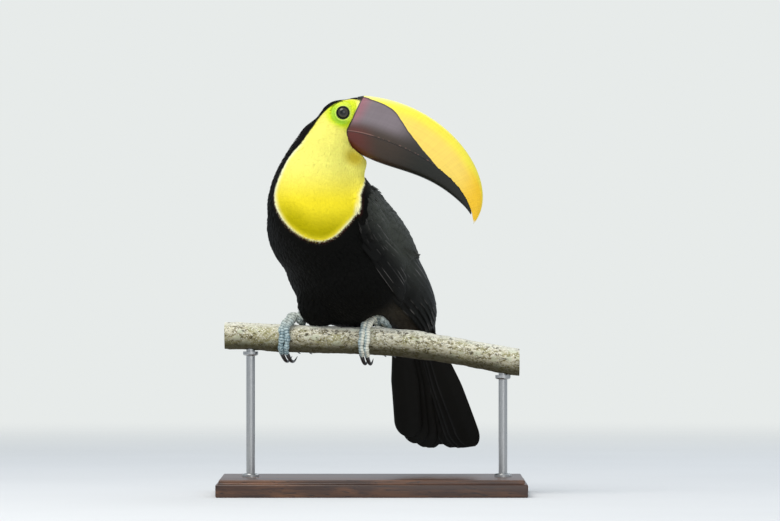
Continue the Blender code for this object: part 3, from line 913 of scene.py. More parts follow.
def joinFeathers(name, shape, bent, roots, widths, lengths, colours, material, nodes=(), soft=0.0):
    # one mesh from all the copies; arrays run (vertex, feather, xyz); soft shades it like the body below
    places, ups = bent
    size, count = places.shape[:2]
    places = places.transpose(1, 0, 2).reshape(-1, 3)
    offsets = np.arange(count) * size
    loops = (shape["loops"][None, :] + offsets[:, None]).ravel()
    counts = np.tile(shape["counts"], count)
    starts = np.concatenate([[0], np.cumsum(counts)[:-1]])
    mesh = bpy.data.meshes.new(name)
    mesh.vertices.add(len(places))
    mesh.vertices.foreach_set("co", places.ravel())
    mesh.loops.add(len(loops))
    mesh.loops.foreach_set("vertex_index", loops)
    mesh.polygons.add(len(counts))
    mesh.polygons.foreach_set("loop_start", starts)
    mesh.update(calc_edges=True)
    local = shape["points"][:, :2]
    sheet = placeOnUnwrap(roots)
    spread = np.tile((local - (0, 0.5)) * 0.003, (count, 1)) + np.repeat(sheet, size, axis=0)
    vane = np.empty((count, size, 2))
    vane[..., 0] = local[None, :, 0] * widths[:, None] * 1000
    vane[..., 1] = local[None, :, 1] * lengths[:, None] * 1000
    share = np.tile(local + (0.5, 0), (count, 1))
    for label, values in (("OFBake", spread), ("vane", vane.reshape(-1, 2)), ("share", share)):
        layer = mesh.uv_layers.new(name=label)
        layer.data.foreach_set("uv", values[loops].ravel())
    paint(mesh, colours.transpose(1, 0, 2).reshape(-1, 3))
    mesh.shade_smooth()
    if soft:
        shading = unit(ups.transpose(1, 0, 2).reshape(-1, 3) * soft + normalsOf(mesh) * (1 - soft))
        mesh.normals_split_custom_set_from_vertices(shading.tolist())
    piece = link(name, mesh, material)
    triangles = int((shape["counts"] - 2).sum()) * count
    print(f"  {name}: {count} feathers, {triangles} triangles")
    return settle(piece, nodes)


# Where feathers may stand: every triangle of the coat's surface, and what lies there.

def surveyCoat():
    coatMesh.calc_loop_triangles()
    index = np.empty(len(coatMesh.loop_triangles) * 3, int)
    coatMesh.loop_triangles.foreach_get("vertices", index)
    corners = pointsOf(coatMesh)[index.reshape(-1, 3)]
    centres = corners.mean(axis=1)
    across = np.cross(corners[:, 1] - corners[:, 0], corners[:, 2] - corners[:, 0])
    far, head = eyeDistance(centres)
    bare = (far < flesh["bareReach"]) & (np.abs(head[:, 1]) > 7)
    return {
        "corners": corners,
        "area": np.linalg.norm(across, axis=1) / 2,
        "yellow": yellowBy(centres) > -1.5,
        "face": np.linalg.norm(head - (-6, 0, 8), axis=1) < 46,
        "open": ~bare & awayFrom(billTree, centres, 0.0013) & awayFrom(footTree, centres, 0.0016),
        "wing": ~awayFrom(wingArmTree, centres, 0.0012),
        "thigh": ~awayFrom(thighTree, centres, 0.0012),
        "trunk": inAxes(trunkAxes, centres),
        "height": centres[:, 2] * 1000,
    }


def scatter(mask, spacing, random):
    # evenly spread roots: random places, each refused when it falls too near another
    corners, areas = survey["corners"][mask], survey["area"][mask]
    tries, crowding = 3.2, 0.72
    count = int(areas.sum() / spacing ** 2 * tries)
    chosen = random.choice(len(corners), count, p=areas / areas.sum())
    u, v = random.random((2, count, 1))
    flip = u + v > 1
    u, v = np.where(flip, 1 - u, u), np.where(flip, 1 - v, v)
    corner = corners[chosen]
    spots = corner[:, 0] + u * (corner[:, 1] - corner[:, 0]) + v * (corner[:, 2] - corner[:, 0])
    cells = np.floor(spots / spacing).astype(int).tolist()
    taken = {}
    kept = []
    limit = spacing * spacing * crowding
    ring = [(i, j, k) for i in (-1, 0, 1) for j in (-1, 0, 1) for k in (-1, 0, 1)]
    for index, (spot, (x, y, z)) in enumerate(zip(spots.tolist(), cells)):
        near = (p for i, j, k in ring for p in taken.get((x + i, y + j, z + k), ()))
        if all(math.dist(spot, p) ** 2 > limit for p in near):
            taken.setdefault((x, y, z), []).append(spot)
            kept.append(index)
    return spots[kept]


def awayFrom(tree, points, distance):
    # true where nothing of a tree lies within a distance
    return np.array([tree.find_nearest(Vector(p), distance)[0] is None for p in points], bool)


def hiddenUnderWing(points, normals):
    # true well inside the folded wing, where no feather would ever be seen
    forward = np.array(trunkAxes.to_3x3().col[0])
    hidden = np.ones(len(points), bool)
    reach = 0.016
    for along, across in ((0, 0), (reach, 0), (-reach, 0), (0, 0.014), (0, -0.014)):
        shift = forward * along + np.cross(normals, forward) * across
        for k in np.flatnonzero(hidden):
            hit = quillTree.ray_cast(Vector(points[k] + shift[k]), Vector(normals[k]), reach)
            hidden[k] = hit[0] is not None
    return hidden


coat = {
    "shared": {"shape": "plume", "cup": 0.06, "wander": 0.10, "soft": 0.6, "uneven": 0.12, "stretch": 1},
    "face": {"settle": 2.2, "spacing": 0.00105, "ratio": 0.42, "lift": 0.0002, "shape": "wisp", "cup": 0.04,
             "wander": 0.05, "soft": 0.75, "uneven": 0.03},
    "bib": {"settle": 3.0, "spacing": 0.00155, "ratio": 0.50, "lift": 0.0001, "cup": 0.05, "wander": 0.05,
            "soft": 0.78, "uneven": 0.03},
    "nape": {"settle": 2.2, "spacing": 0.0019, "ratio": 0.38, "lift": 0.0004},
    "breast": {"settle": 2.0, "spacing": 0.0025, "ratio": 0.38, "lift": 0.0004},
    "belly": {"settle": 2.0, "spacing": 0.0025, "ratio": 0.36, "lift": 0.0005, "wander": 0.12},
    "mantle": {"settle": 2.0, "spacing": 0.0026, "ratio": 0.42, "lift": 0.0005},
    "thigh": {"settle": 1.8, "spacing": 0.0022, "ratio": 0.32, "lift": 0.0007, "cup": 0.05, "wander": 0.16},
    "lesserCoverts": {"settle": 1.8, "spacing": 0.0042, "ratio": 0.50, "lift": 0.0004, "shape": "covert",
                      "cup": 0.05, "wander": 0.06, "soft": 0.45, "uneven": 0.10, "stretch": 1.35},
    "shortest": 0.0032,
    "longest": 0.0165,
    "thickness": 0.00012,
    "steps": 3,                                 # straight pieces to a feather's spine
    "foldLimit": 0.78,                          # a feather that would fold over a groove is left out
}


def coatRegions():
    trunk, high = survey["trunk"], survey["height"]
    free = survey["open"] & ~survey["face"]
    body = free & ~survey["yellow"] & ~survey["wing"]
    nape = body & (high > 312) & (trunk[:, 0] > 36)
    body &= ~nape & ~survey["thigh"]
    dorsal = trunk[:, 2] > 4
    return {
        "face": survey["open"] & survey["face"],
        "bib": free & survey["yellow"],
        "nape": nape,
        "breast": body & ~dorsal & (trunk[:, 0] > 2),
        "belly": body & ~dorsal & (trunk[:, 0] <= 2),
        "mantle": body & dorsal,
        "thigh": free & survey["thigh"],
        "lesserCoverts": free & survey["wing"] & ~survey["yellow"] & (trunk[:, 0] > -30),
    }


def growCoat(materials):
    for number, (region, mask) in enumerate(coatRegions().items()):
        look = coat["shared"] | coat[region]
        random = np.random.default_rng(100 + number)
        roots, normals = onSurface(coatTree, scatter(mask, look["spacing"], random))
        seen = ~hiddenUnderWing(roots, normals)
        roots, normals = roots[seen], normals[seen]
        share = sizeFrom(roots)
        lengths = coat["shortest"] + (coat["longest"] - coat["shortest"]) * share
        lengths = lengths * random.uniform(0.85, 1.15, len(roots)) * look["stretch"]
        widths = lengths * look["ratio"] * random.uniform(0.85, 1.15, len(roots))
        lines, ups = lineWalk(roots, normals, lengths, coat["steps"], random, look["wander"])
        flat = (ups * ups[0]).sum(-1).min(axis=0) > coat["foldLimit"]
        lines, ups, roots = lines[:, flat], ups[:, flat], roots[flat]
        lengths, widths, share = lengths[flat], widths[flat], share[flat]
        rise = np.linspace(0, 1, coat["steps"] + 1)[:, None]
        depth = coatDepth(roots) * random.uniform(0.85, 1.1, len(roots))
        lift = look["lift"] * rise ** 2 * random.uniform(0, 1.6, len(roots))
        heights = -depth * (1 - rise) ** look["settle"] + lift
        shape = shapes[look["shape"]]
        thickness = coat["thickness"] * (1 + share[None, :, None])
        bent = bendShape(shape, lines, ups, widths, thickness, look["cup"], heights=heights)
        size = bent[0].shape
        kind = {"face": "bib", "bib": "bib", "lesserCoverts": "wing"}.get(region, "body")
        colours = colourAt(bent[0].reshape(-1, 3), kind == "wing").reshape(size)
        tone = 1 + random.uniform(-look["uneven"], look["uneven"], len(roots))[None, :, None]
        joinFeathers(region + "Feathers", shape, bent, roots, widths, lengths, np.clip(colours * tone, 0, 1),
                     materials[kind], soft=look["soft"])


# Plumage finish: barbs slanting from each shaft, streaks along them, and paler worn edges.

def barbGroup():
    inputs = [("Colour", "Color", (0.5, 0.5, 0.5, 1)), ("Streak", "Float", 0.3), ("Barb", "Float", 0.5),
              ("Edge", "Float", 0.0), ("Roughness", "Float", 0.6), ("Relief", "Float", 0.4)]
    results = [("Colour", "Color"), ("Roughness", "Float"), ("Normal", "Vector")]
    group, given, out = newGroup("barbs", inputs, results)
    parts = split(group, mapPlace(group, "vane"))
    side = compute(group, "ABSOLUTE", parts[0])
    slant = timesPlus(group, side, -1.3, parts[1])
    lines = compute(group, "DIVIDE", slant, given.outputs["Barb"])
    wave = compute(group, "SINE", times(group, lines, 6.283))
    where = objectPlace(group)
    patch = times(group, noiseAt(group, where, 160.0, 3.0), 40.0)
    spot = addNode(group, "CombineXYZ", {0: side, 1: times(group, slant, 3.0), 2: patch})
    streak = noiseAt(group, spot.outputs[0], 0.9, 3.0, 0.6)
    tone = ramp(group, streak, 0.25, 0.75, -1.0, 1.0, "LINEAR")
    gain = timesPlus(group, tone, given.outputs["Streak"], 1.0)
    shade = shadeBy(group, given.outputs["Colour"], gain)
    # pale worn rims, in patches
    off = minus(group, split(group, mapPlace(group, "share"))[0], 0.5)
    rim = ramp(group, compute(group, "ABSOLUTE", off), 0.40, 0.5)
    wear = ramp(group, noiseAt(group, where, 34.0, 2.0), 0.47, 0.58, easing="LINEAR")
    worn = times(group, rim, times(group, wear, given.outputs["Edge"]))
    height = timesPlus(group, wave, 0.35, streak)
    bump = addNode(group, "Bump", {"Strength": given.outputs["Relief"], "Distance": 0.0003, "Height": height})
    feed(group, out, {"Colour": mixColour(group, worn, shade, (0.16, 0.15, 0.14)),
                      "Roughness": timesPlus(group, tone, 0.08, given.outputs["Roughness"]),
                      "Normal": bump.outputs[0]})
    return group


plumage = {
    "bib": {"streak": 0.03, "barb": 0.45, "edge": 0.0, "roughness": 0.8, "relief": 0.18, "gloss": 0.07},
    "body": {"streak": 0.30, "barb": 0.6, "edge": 0.03, "roughness": 0.66, "relief": 0.45, "gloss": 0.07},
    "wing": {"streak": 0.35, "barb": 0.8, "edge": 0.8, "roughness": 0.5, "relief": 0.45, "gloss": 0.11},
    "tail": {"streak": 0.25, "barb": 0.9, "edge": 0.04, "roughness": 0.5, "relief": 0.35, "gloss": 0.16},
}


def plumageMaterials():
    barbs = barbGroup()
    made = {}
    for kind, look in plumage.items():
        material, tree, shader = newMaterial(kind + "Plumage", {"Specular IOR Level": look["gloss"]})
        inputs = {label: look[label.lower()] for label in ("Streak", "Barb", "Edge", "Roughness", "Relief")}
        node = useGroup(tree, barbs, {"Colour": readColour(tree, "coatColour"), **inputs})
        feed(tree, shader, {"Base Color": node.outputs["Colour"], "Roughness": node.outputs["Roughness"],
                            "Normal": node.outputs["Normal"]})
        made[kind] = material
    return made


def skinMaterial():
    material, tree, shader = newMaterial("birdSkin", {"Specular IOR Level": 0.4, "Roughness": 0.5})
    where = objectPlace(tree)
    cells = addNode(tree, "TexVoronoi", {"Vector": where, "Scale": 900.0}).outputs["Distance"]
    height = timesPlus(tree, cells, 0.6, noiseAt(tree, where, 420.0))
    tone = ramp(tree, height, 0.4, 1.0, 0.82, 1.1, "LINEAR")
    base = shadeBy(tree, readColour(tree, "coatColour"), tone)
    finishMaterial(tree, shader, base, None, height, 0.55, 0.0004)
    return material


# Folded wings: flight feathers laid along the wing's outer surface like roof tiles.

wing = {
    "shared": {"shape": "longCovert", "count": 13, "width": 0.0135},
    # (root along, root turn, tip along, tip turn) of the first and the last feather of each row;
    # along the trunk in mm, turn in degrees from level towards the back
    "flight": {"first": (-4, -33, -138, -6), "last": (8, 58, -84, 74), "width": 0.0165,
               "height": -0.0019, "bow": 1.9, "tilt": 0.085, "shape": "quill"},
    "primaryCoverts": {"first": (14, -34, -62, -33), "last": (16, -16, -44, -16), "count": 5, "width": 0.0085,
                       "height": -0.0009, "bow": 1.2, "tilt": 0.10},
    "greater": {"first": (28, -22, -34, -12), "last": (26, 52, -40, 64), "height": -0.0010, "bow": 1.3,
                "tilt": 0.09},
    "median": {"first": (42, -28, 2, -27), "last": (38, 50, -6, 58), "count": 15, "width": 0.0115,
               "height": -0.0004, "bow": 1.2, "tilt": 0.08},
    "scapulars": {"first": (44, 62, 8, 70), "last": (-14, 58, -58, 68), "count": 9, "height": -0.0007,
                  "bow": 1.1, "tilt": 0.05},
    "steps": 14,
    "outside": 0.13,                            # where the rays towards the body start
    "thickness": 0.0004,
}


def wingSpine(side, row, share, random):
    start = np.array(row["first"], float)
    along0, turn0, along1, turn1 = start + (np.array(row["last"]) - start) * share
    along1 += random.normal(0, 1.0)
    turn1 += random.normal(0, 0.8)
    steps = np.linspace(0, 1, wing["steps"] + 1)
    along = along0 + (along1 - along0) * steps
    turn = np.radians(turn0 + (turn1 - turn0) * steps ** row["bow"])
    forward, left, dorsal = (np.array(axis) for axis in trunkAxes.to_3x3().col)
    middle = np.array(trunkAxes.translation) + forward * along[:, None] / 1000 + dorsal * attitude["wingCore"]
    out = left * side * np.cos(turn)[:, None] + dorsal * np.sin(turn)[:, None]
    radius = np.full(len(steps), np.nan)
    for k, (place, way) in enumerate(zip(middle, out)):
        hit = outerTree.ray_cast(Vector(place + way * wing["outside"]), Vector(-way), wing["outside"])
        if hit[0] is not None:
            radius[k] = wing["outside"] - hit[3]
    known = ~np.isnan(radius)
    curve = np.polyfit(along[known], radius[known], 3)
    smooth = np.polyval(curve, along)
    radius = np.maximum(np.where(known, np.minimum(smooth, np.nan_to_num(radius) + 0.0008), smooth), 0.012)
    return middle + out * radius[:, None], out


def layWing(side, word, material):
    for number, name in enumerate(["flight", "primaryCoverts", "greater", "median", "scapulars"]):
        row = wing["shared"] | wing[name]
        random = np.random.default_rng(300 + number * 2 + (side > 0))
        spines = [wingSpine(side, row, k / (row["count"] - 1), random) for k in range(row["count"])]
        lines = np.stack([spine for spine, out in spines], axis=1)
        out = np.stack([way for spine, way in spines], axis=1)
        slope = unit(np.gradient(lines, axis=0))
        ups = unit(out - slope * (out * slope).sum(-1, keepdims=True))
        lengths = np.linalg.norm(np.diff(lines, axis=0), axis=2).sum(axis=0)
        widths = row["width"] * random.uniform(0.95, 1.05, row["count"])
        shape = shapes[row["shape"]]
        rise = np.linspace(0, 1, wing["steps"] + 1)[:, None]
        heights = row["height"] - 0.0016 * (1 - rise) ** 2 + np.zeros_like(widths)
        bent = bendShape(shape, lines, ups, widths, wing["thickness"], 0.03, side * row["tilt"], heights)
        tone = random.uniform(0.9, 1.1, row["count"])[None, :, None]
        colours = colourAt(bent[0].reshape(-1, 3), True).reshape(bent[0].shape) * tone
        title = f"wing{word}{name[0].upper()}{name[1:]}"
        replaced = [f"wing_{word.lower()}_quills"] if name == "flight" else []
        joinFeathers(title, shape, bent, lines[0], widths, lengths, colours, material,
                     replaced)


# Tail: ten feathers in a shallow arch, the middle pair on top.

tail = {
    "root": (40, 50, 28),                       # mm from the branch's middle
    "tip": (75, 123, -116),
    "across": (0.93, -0.36, 0.05),
    "count": 10,
    "length": 0.163,
    "width": 0.0285,
    "arch": 0.0030,
    "rootSpread": 0.0125,
    "spread": 8.2,
    "tilt": 0.055,
    "steps": 12,
}


def tailLength(share):
    edge = 0.105 * -share ** 3 if share < 0 else 0.012 * share ** 3
    return tail["length"] * (1.008 - edge - 0.04 * math.exp(-(share / 0.24) ** 2))


def layTail(material):
    middle = Vector((0, 0, perchHeight(0)))
    root = middle + Vector(tail["root"]) / 1000
    along = (middle + Vector(tail["tip"]) / 1000 - root).normalized()
    across = Vector(tail["across"])
    across = (across - along * across.dot(along)).normalized()
    face = across.cross(along)
    random = np.random.default_rng(77)
    steps = np.linspace(0, 1, tail["steps"] + 1)[:, None]
    spines, lengths, tilts = [], [], []
    for k in range(tail["count"]):
        share = 2 * k / (tail["count"] - 1) - 1
        turn = math.radians(share * tail["spread"] + random.normal(0, 0.25))
        way = np.array(along * math.cos(turn) + across * math.sin(turn))
        start = root + across * share * tail["rootSpread"] - face * tail["arch"] * share ** 2
        sag = np.array(face) * (0.0022 * np.sin(steps * math.pi) - 0.0012 * steps ** 3 * share ** 2)
        spines.append(np.array(start) + way * steps * tailLength(share) + sag)
        lengths.append(tailLength(share))
        tilts.append(tail["tilt"] * (1 if share > 0 else -1) * (0.6 + 0.4 * abs(share)))
    lines = np.stack(spines, axis=1)
    ups = np.broadcast_to(np.array(face), lines.shape).copy()
    lengths = np.array(lengths)
    widths = tail["width"] * random.uniform(0.97, 1.03, tail["count"])
    shape = shapes["rectrix"]
    bent = bendShape(shape, lines, ups, widths, 0.0005, 0.02, -np.array(tilts))
    tone = random.uniform(0.9, 1.1, tail["count"])[None, :, None]
    colours = np.ones(bent[0].shape) * marks["tailBlack"] * tone
    joinFeathers("tailFeathers", shape, bent, lines[0], widths, lengths, colours, material,
                 ["tail"])


# Bill: two mandibles wrapped section by section.

bill = {
    "culmen": [(-3.4, 40.6), (78.6, 81.1), (170.7, 32.9), (161.1, -17.5)],      # head axes, mm
    "tomium": [(0, 0), (16.9, 11), (127.9, 35.7), (161.1, -17.5)],
    "gonys": [(9, -12.5), (60, -18.5), (86, 12), (151.5, -8.5)],
    "halfWidth": 18.5,
    "collar": 4.5,                              # how far the horn runs on under the face
    "around": 60,
    "along": 220,
    "teeth": 27,
    "toothDepth": 0.55,
    # edge of the yellow: rises from the forehead, then falls away to the tip; corners of a rounded line
    "yellowEdge": [(-8, 38), (28, 46), (52, 33), (88, 18), (122, 9), (142, -60), (260, -60), (260, 160),
                   (-40, 160), (-40, 38)],
    "lemon": srgb(255, 238, 72),
    # painted highlight along the ridge
    "ridgeHighlight": srgb(255, 248, 140),
    "amber": srgb(255, 214, 98),
    "orange": srgb(255, 202, 36),
    "whiteTip": srgb(252, 246, 225),
    # the bill's own mauve, brightened by a painted highlight
    "mauveAndHighlight": srgb(158, 100, 110),
    "maroon": srgb(100, 38, 30),
    # painted reflection of the sky
    "skySheenLilac": srgb(124, 112, 116),
    "brown": srgb(60, 45, 33),
    "nightOlive": srgb(24, 24, 15),
}


def evenly(points, shares):
    # places on a cubic curve at shares of its length
    t = np.linspace(0, 1, 801)[:, None]
    a, b, c, d = (np.array(p, float) for p in points)
    fine = a * (1 - t) ** 3 + b * 3 * (1 - t) ** 2 * t + c * 3 * (1 - t) * t * t + d * t ** 3
    far = np.concatenate([[0], np.cumsum(np.linalg.norm(np.diff(fine, axis=0), axis=1))])
    target = shares * far[-1]
    return np.column_stack([np.interp(target, far, fine[:, k]) for k in range(fine.shape[1])])


def layGrid(around, along, place, rows=1):
    # faces from shares round and along a piece, its seam closed; its map counts rows along
    bm = bmesh.new()
    bmesh.ops.create_grid(bm, x_segments=around, y_segments=along, size=1)
    sheet = bm.loops.layers.uv.new("wrap")
    for face in bm.faces:
        for loop in face.loops:
            loop[sheet].uv = (loop.vert.co.x + 1) / 2, (loop.vert.co.y + 1) / 2 * rows
    shares = (np.array([v.co[:2] for v in bm.verts]) + 1) / 2
    for v, spot in zip(bm.verts, place(shares[:, 0], shares[:, 1]).tolist()):
        v.co = spot
    bmesh.ops.remove_doubles(bm, verts=bm.verts, dist=1e-6)
    return bm


def wrap(around, along, place, rows=1):
    # a tube with closed ends
    bm = layGrid(around, along, place, rows)
    bmesh.ops.holes_fill(bm, edges=bm.edges)
    bmesh.ops.recalc_face_normals(bm, faces=bm.faces)
    return bm


def mandible(upper, u, w):
    collar = smoothStep(0.012, 0, w)
    share = np.sin(math.pi / 2 * np.maximum(w - 0.012, 0) / 0.988)
    ridge = evenly(bill["culmen" if upper else "gonys"], share)
    edge = evenly(bill["tomium"], share)
    taper = 1 - 0.16 * share - 0.60 * share ** 2.4
    width = bill["halfWidth"] * taper * np.sqrt(np.maximum(1 - share ** 9, 0))
    if not upper:
        tip = np.array(bill["gonys"][-1])
        edge = edge + (tip - edge) * (share ** 14)[:, None] - (0, 0.12)
        width = width * (0.975 - 0.10 * share)
    width = width + 0.35 * np.exp(-((share * 165 - 0.8) / 0.7) ** 2)      # a slight rim at the face
    outside = u <= 0.8
    turn = math.pi / 2 * np.minimum(np.abs(u - 0.4) / 0.4, 1)
    side = np.sign(u - 0.4)
    spot = ridge + (edge - ridge) * (1 - np.cos(turn) ** 1.1)[:, None]
    across = side * width * np.sin(turn) ** 0.75
    # little teeth along the cutting edge
    beat = share * bill["teeth"] + 0.9 * np.sin(share * 23) + 0.5 * np.sin(share * 61)
    notch = np.maximum(0, np.cos(beat * 2 * math.pi)) ** 5
    notch = notch * smoothStep(0.22, 0.4, share) * smoothStep(0.99, 0.9, share)
    near = np.exp(-((turn - math.pi / 2) / 0.10) ** 2)
    lift = bill["toothDepth"] * notch * near * (1 if upper else 0.3)
    inner = 1 - 2 * (u - 0.8) / 0.2
    hollow = (1 - inner ** 2) * np.minimum(width * 0.25, 2.2) * (1 if upper else 0.8)
    across = np.where(outside, across, width * inner)
    within = edge[:, 1] + hollow + bill["toothDepth"] * notch * (inner ** 2 > 0.98)
    high = np.where(outside, spot[:, 1] + lift, within)
    ahead = np.where(outside, spot[:, 0], edge[:, 0])
    # the first sections run back under the face
    middle = 18 if upper else -6
    ahead = ahead - bill["collar"] * collar
    across = across * (1 - 0.14 * collar)
    high = high + (middle - high) * 0.17 * collar
    return np.column_stack([ahead, across, high])


def makeMandible(upper, material):
    name = "upperBill" if upper else "lowerBill"

    def place(u, w):
        return outOfAxes(headAxes, mandible(upper, u, w))

    mesh = meshFrom(name, wrap(bill["around"], bill["along"], place), 50)
    head = inAxes(headAxes, pointsOf(mesh))
    ahead, high = head[:, 0], head[:, 2]
    line = evenly(bill["tomium"], np.linspace(0, 1, 200))
    above = high - np.interp(ahead, line[:, 0], line[:, 1])
    base = ahead + 0.084 * high if upper else (ahead + 0.72 * high) * 0.81
    yellow = insideBy(roundOff(bill["yellowEdge"]), ahead, high) if upper else np.full(len(head), -20.0)
    crest = evenly(bill["culmen"], np.linspace(0, 1, 200))
    order = np.argsort(crest[:, 0])
    below = np.interp(ahead, crest[order, 0], crest[order, 1]) - high
    lower = smoothStep(2, 9, below + (ahead - 120) * 0.1)
    bright = tinted(bill, np.tile(bill["lemon"], (len(head), 1)), {
        # painted highlight along the ridge near the base
        "ridgeHighlight": smoothStep(60, 5, ahead) * smoothStep(6, 1, below),
        "amber": smoothStep(4, 15, below) * smoothStep(12, 60, ahead) * 0.85,
        "orange": smoothStep(118, 150, ahead) * lower,
        "whiteTip": smoothStep(-12.5, -16.5, high) * smoothStep(140, 150, ahead),
    })
    dark = tinted(bill, np.tile(bill["brown"], (len(head), 1)), {
        # painted reflection of the sky on the upper side of the dark horn
        "skySheenLilac": smoothStep(2, 17, above) * smoothStep(85, 40, ahead),
        "maroon": smoothStep(34, 4, base) * smoothStep(14, -2, above) * 0.9,
        # mauve at the upper base, its own colour brightened by a painted highlight
        "mauveAndHighlight": smoothStep(14, 1, base) * smoothStep(4, 20, above) * 0.85,
        "nightOlive": smoothStep(36, 88, ahead),
    })
    face = colourAt(pointsOf(mesh))
    for label, colours in (("brightHorn", bright), ("darkHorn", dark)):
        colours = blendTo(colours, face, smoothStep(0.2, -0.6, base))
        paint(mesh, colours, label)
    for label, values in (("yellowBy", yellow), ("fromBase", base), ("fromEdge", above)):
        mesh.attributes.new(label, "FLOAT", "POINT").data.foreach_set("value", values)
    return settle(link(name, mesh, material), ["bill_upper" if upper else "bill_lower"])


def hornMaterial():
    material, tree, shader = newMaterial("billHorn", {"Specular IOR Level": 0.38, "Coat Weight": 0.06,
                                                      "Coat Roughness": 0.2})
    bright, dark = readColour(tree, "brightHorn"), readColour(tree, "darkHorn")
    edge, near = readFloat(tree, "fromEdge"), readFloat(tree, "fromBase")
    fibres = stretched(tree, (70, 5, 1), 5.0)
    bars = stretched(tree, (3, 120, 1), 3.0)
    blotch = plainNoise(tree, 90.0)
    rough = timesPlus(tree, blotch, 2.2, -1.1)
    yellow = compute(tree, "ADD", readFloat(tree, "yellowBy"), rough)
    share = ramp(tree, yellow, -0.25, 0.25)
    onDark = minus(tree, 1.0, share)
    rim = times(tree, ramp(tree, yellow, -2.2, -0.2), onDark)
    base = stain(tree, dark, rim, 0.75, bill["nightOlive"])
    base = mixColour(tree, share, base, bright)
    tone = timesPlus(tree, compute(tree, "ADD", fibres, bars), 0.22, 0.78)
    base = shadeBy(tree, base, tone)
    # worn, paler horn along the cutting edge
    gape = ramp(tree, near, 30, 24)
    flecks = ramp(tree, stretched(tree, (2, 70, 1), 3.0), 0.50, 0.62, 0.0, 0.7)
    flecks = compute(tree, "MAXIMUM", flecks, gape)
    close = band(tree, edge, (-0.1, 0.3), (1.3, 0.8))
    worn = times(tree, times(tree, close, flecks), onDark)
    base = stain(tree, base, worn, 0.55, srgb(158, 116, 104))
    # painted shade: a dark line in the slit between the mandibles
    slitShade = band(tree, edge, (-0.7, -0.4), (0.1, -0.2))
    base = stain(tree, base, slitShade, 0.8, srgb(22, 14, 12))
    # dark seam where the bill meets the face
    seam = band(tree, near, (1.1, 0.5), (-0.9, -0.3))
    base = stain(tree, base, seam, 0.9, srgb(34, 18, 16))
    gloss = timesPlus(tree, blotch, 0.16, 0.30)
    height = timesPlus(tree, fibres, 0.7, times(tree, bars, 0.35))
    finishMaterial(tree, shader, base, gloss, height, 0.35, 0.0004)
    return material


# Eyes: ball, iris and pupil, with lids and the folds of the bare skin round them.

eye = {
    "radius": 0.0086,
    "cornea": 0.0005,
    "irisEdge": 41.0,                           # degrees from the eye's axis
    "pupilEdge": 19.0,
    # mm out from the axis, mm above the ball's middle, and how far each row follows the skin
    "lid": [(5.75, 5.9), (5.85, 6.5), (6.15, 6.95), (6.6, 7.1), (7.05, 6.95), (7.4, 6.6), (7.8, 6.5),
            (8.3, 6.75), (8.9, 6.6), (9.5, 6.1), (10.3, 5.6), (11.2, 5.0)],
    "blend": [0, 0, 0, 0.08, 0.2, 0.42, 0.6, 0.74, 0.84, 0.93, 1, 1],
    "lidAround": 120,
    "lidAlong": 44,
    "ring": srgb(16, 17, 12),
    "paleLid": srgb(222, 240, 110),
}


def eyeAxes(side):
    # middle of the ball, outward, up and forward in world axes
    middle = middleOf("eye_" + sideWord(side))
    turn = headAxes.to_3x3()
    return middle, turn @ Vector((0, side, 0)), turn @ Vector((0, 0, 1)), turn @ Vector((1, 0, 0))


def makeEye(side, material):
    middle, out, up, ahead = (np.array(v) for v in eyeAxes(side))

    def ball(u, w):
        angle = w * math.pi
        bulge = eye["cornea"] * smoothStep(math.radians(46), math.radians(20), angle)
        far = eye["radius"] + bulge
        turn = u * 2 * math.pi
        ring = (np.cos(turn) * np.sin(angle))[:, None] * ahead + (np.sin(turn) * np.sin(angle))[:, None] * up
        return middle + far[:, None] * (ring + np.cos(angle)[:, None] * out)

    word = sideWord(side)
    piece = link(word + "Eye", meshFrom(word + "Eye", wrap(64, 90, ball)), material)
    return settle(piece, ["eye_" + word])


def eyeMaterial():
    material, tree, shader = newMaterial("wetEye", {"Roughness": 0.08, "Specular IOR Level": 0.35,
                                                    "Coat Weight": 0.45, "Coat Roughness": 0.01})
    angle = times(tree, split(tree, mapPlace(tree))[1], 180.0)
    fibres = stretched(tree, (60, 8, 1), 4.0)
    mottle = stretched(tree, (9, 30, 1), 3.0)
    iris = mixColour(tree, ramp(tree, fibres, 0.3, 0.7), srgb(30, 26, 20), srgb(74, 68, 52))
    iris = mixColour(tree, ramp(tree, mottle, 0.35, 0.7), iris, srgb(52, 44, 34))
    outer = ramp(tree, angle, eye["irisEdge"] - 9, eye["irisEdge"])
    iris = mixColour(tree, outer, iris, srgb(14, 13, 10))
    wobble = timesPlus(tree, fibres, 1.6, angle)
    pupil = ramp(tree, wobble, eye["pupilEdge"] + 1.6, eye["pupilEdge"])
    iris = mixColour(tree, pupil, iris, srgb(3, 3, 3))
    finishMaterial(tree, shader, iris, None, fibres, 0.08, 0.0002)
    return material


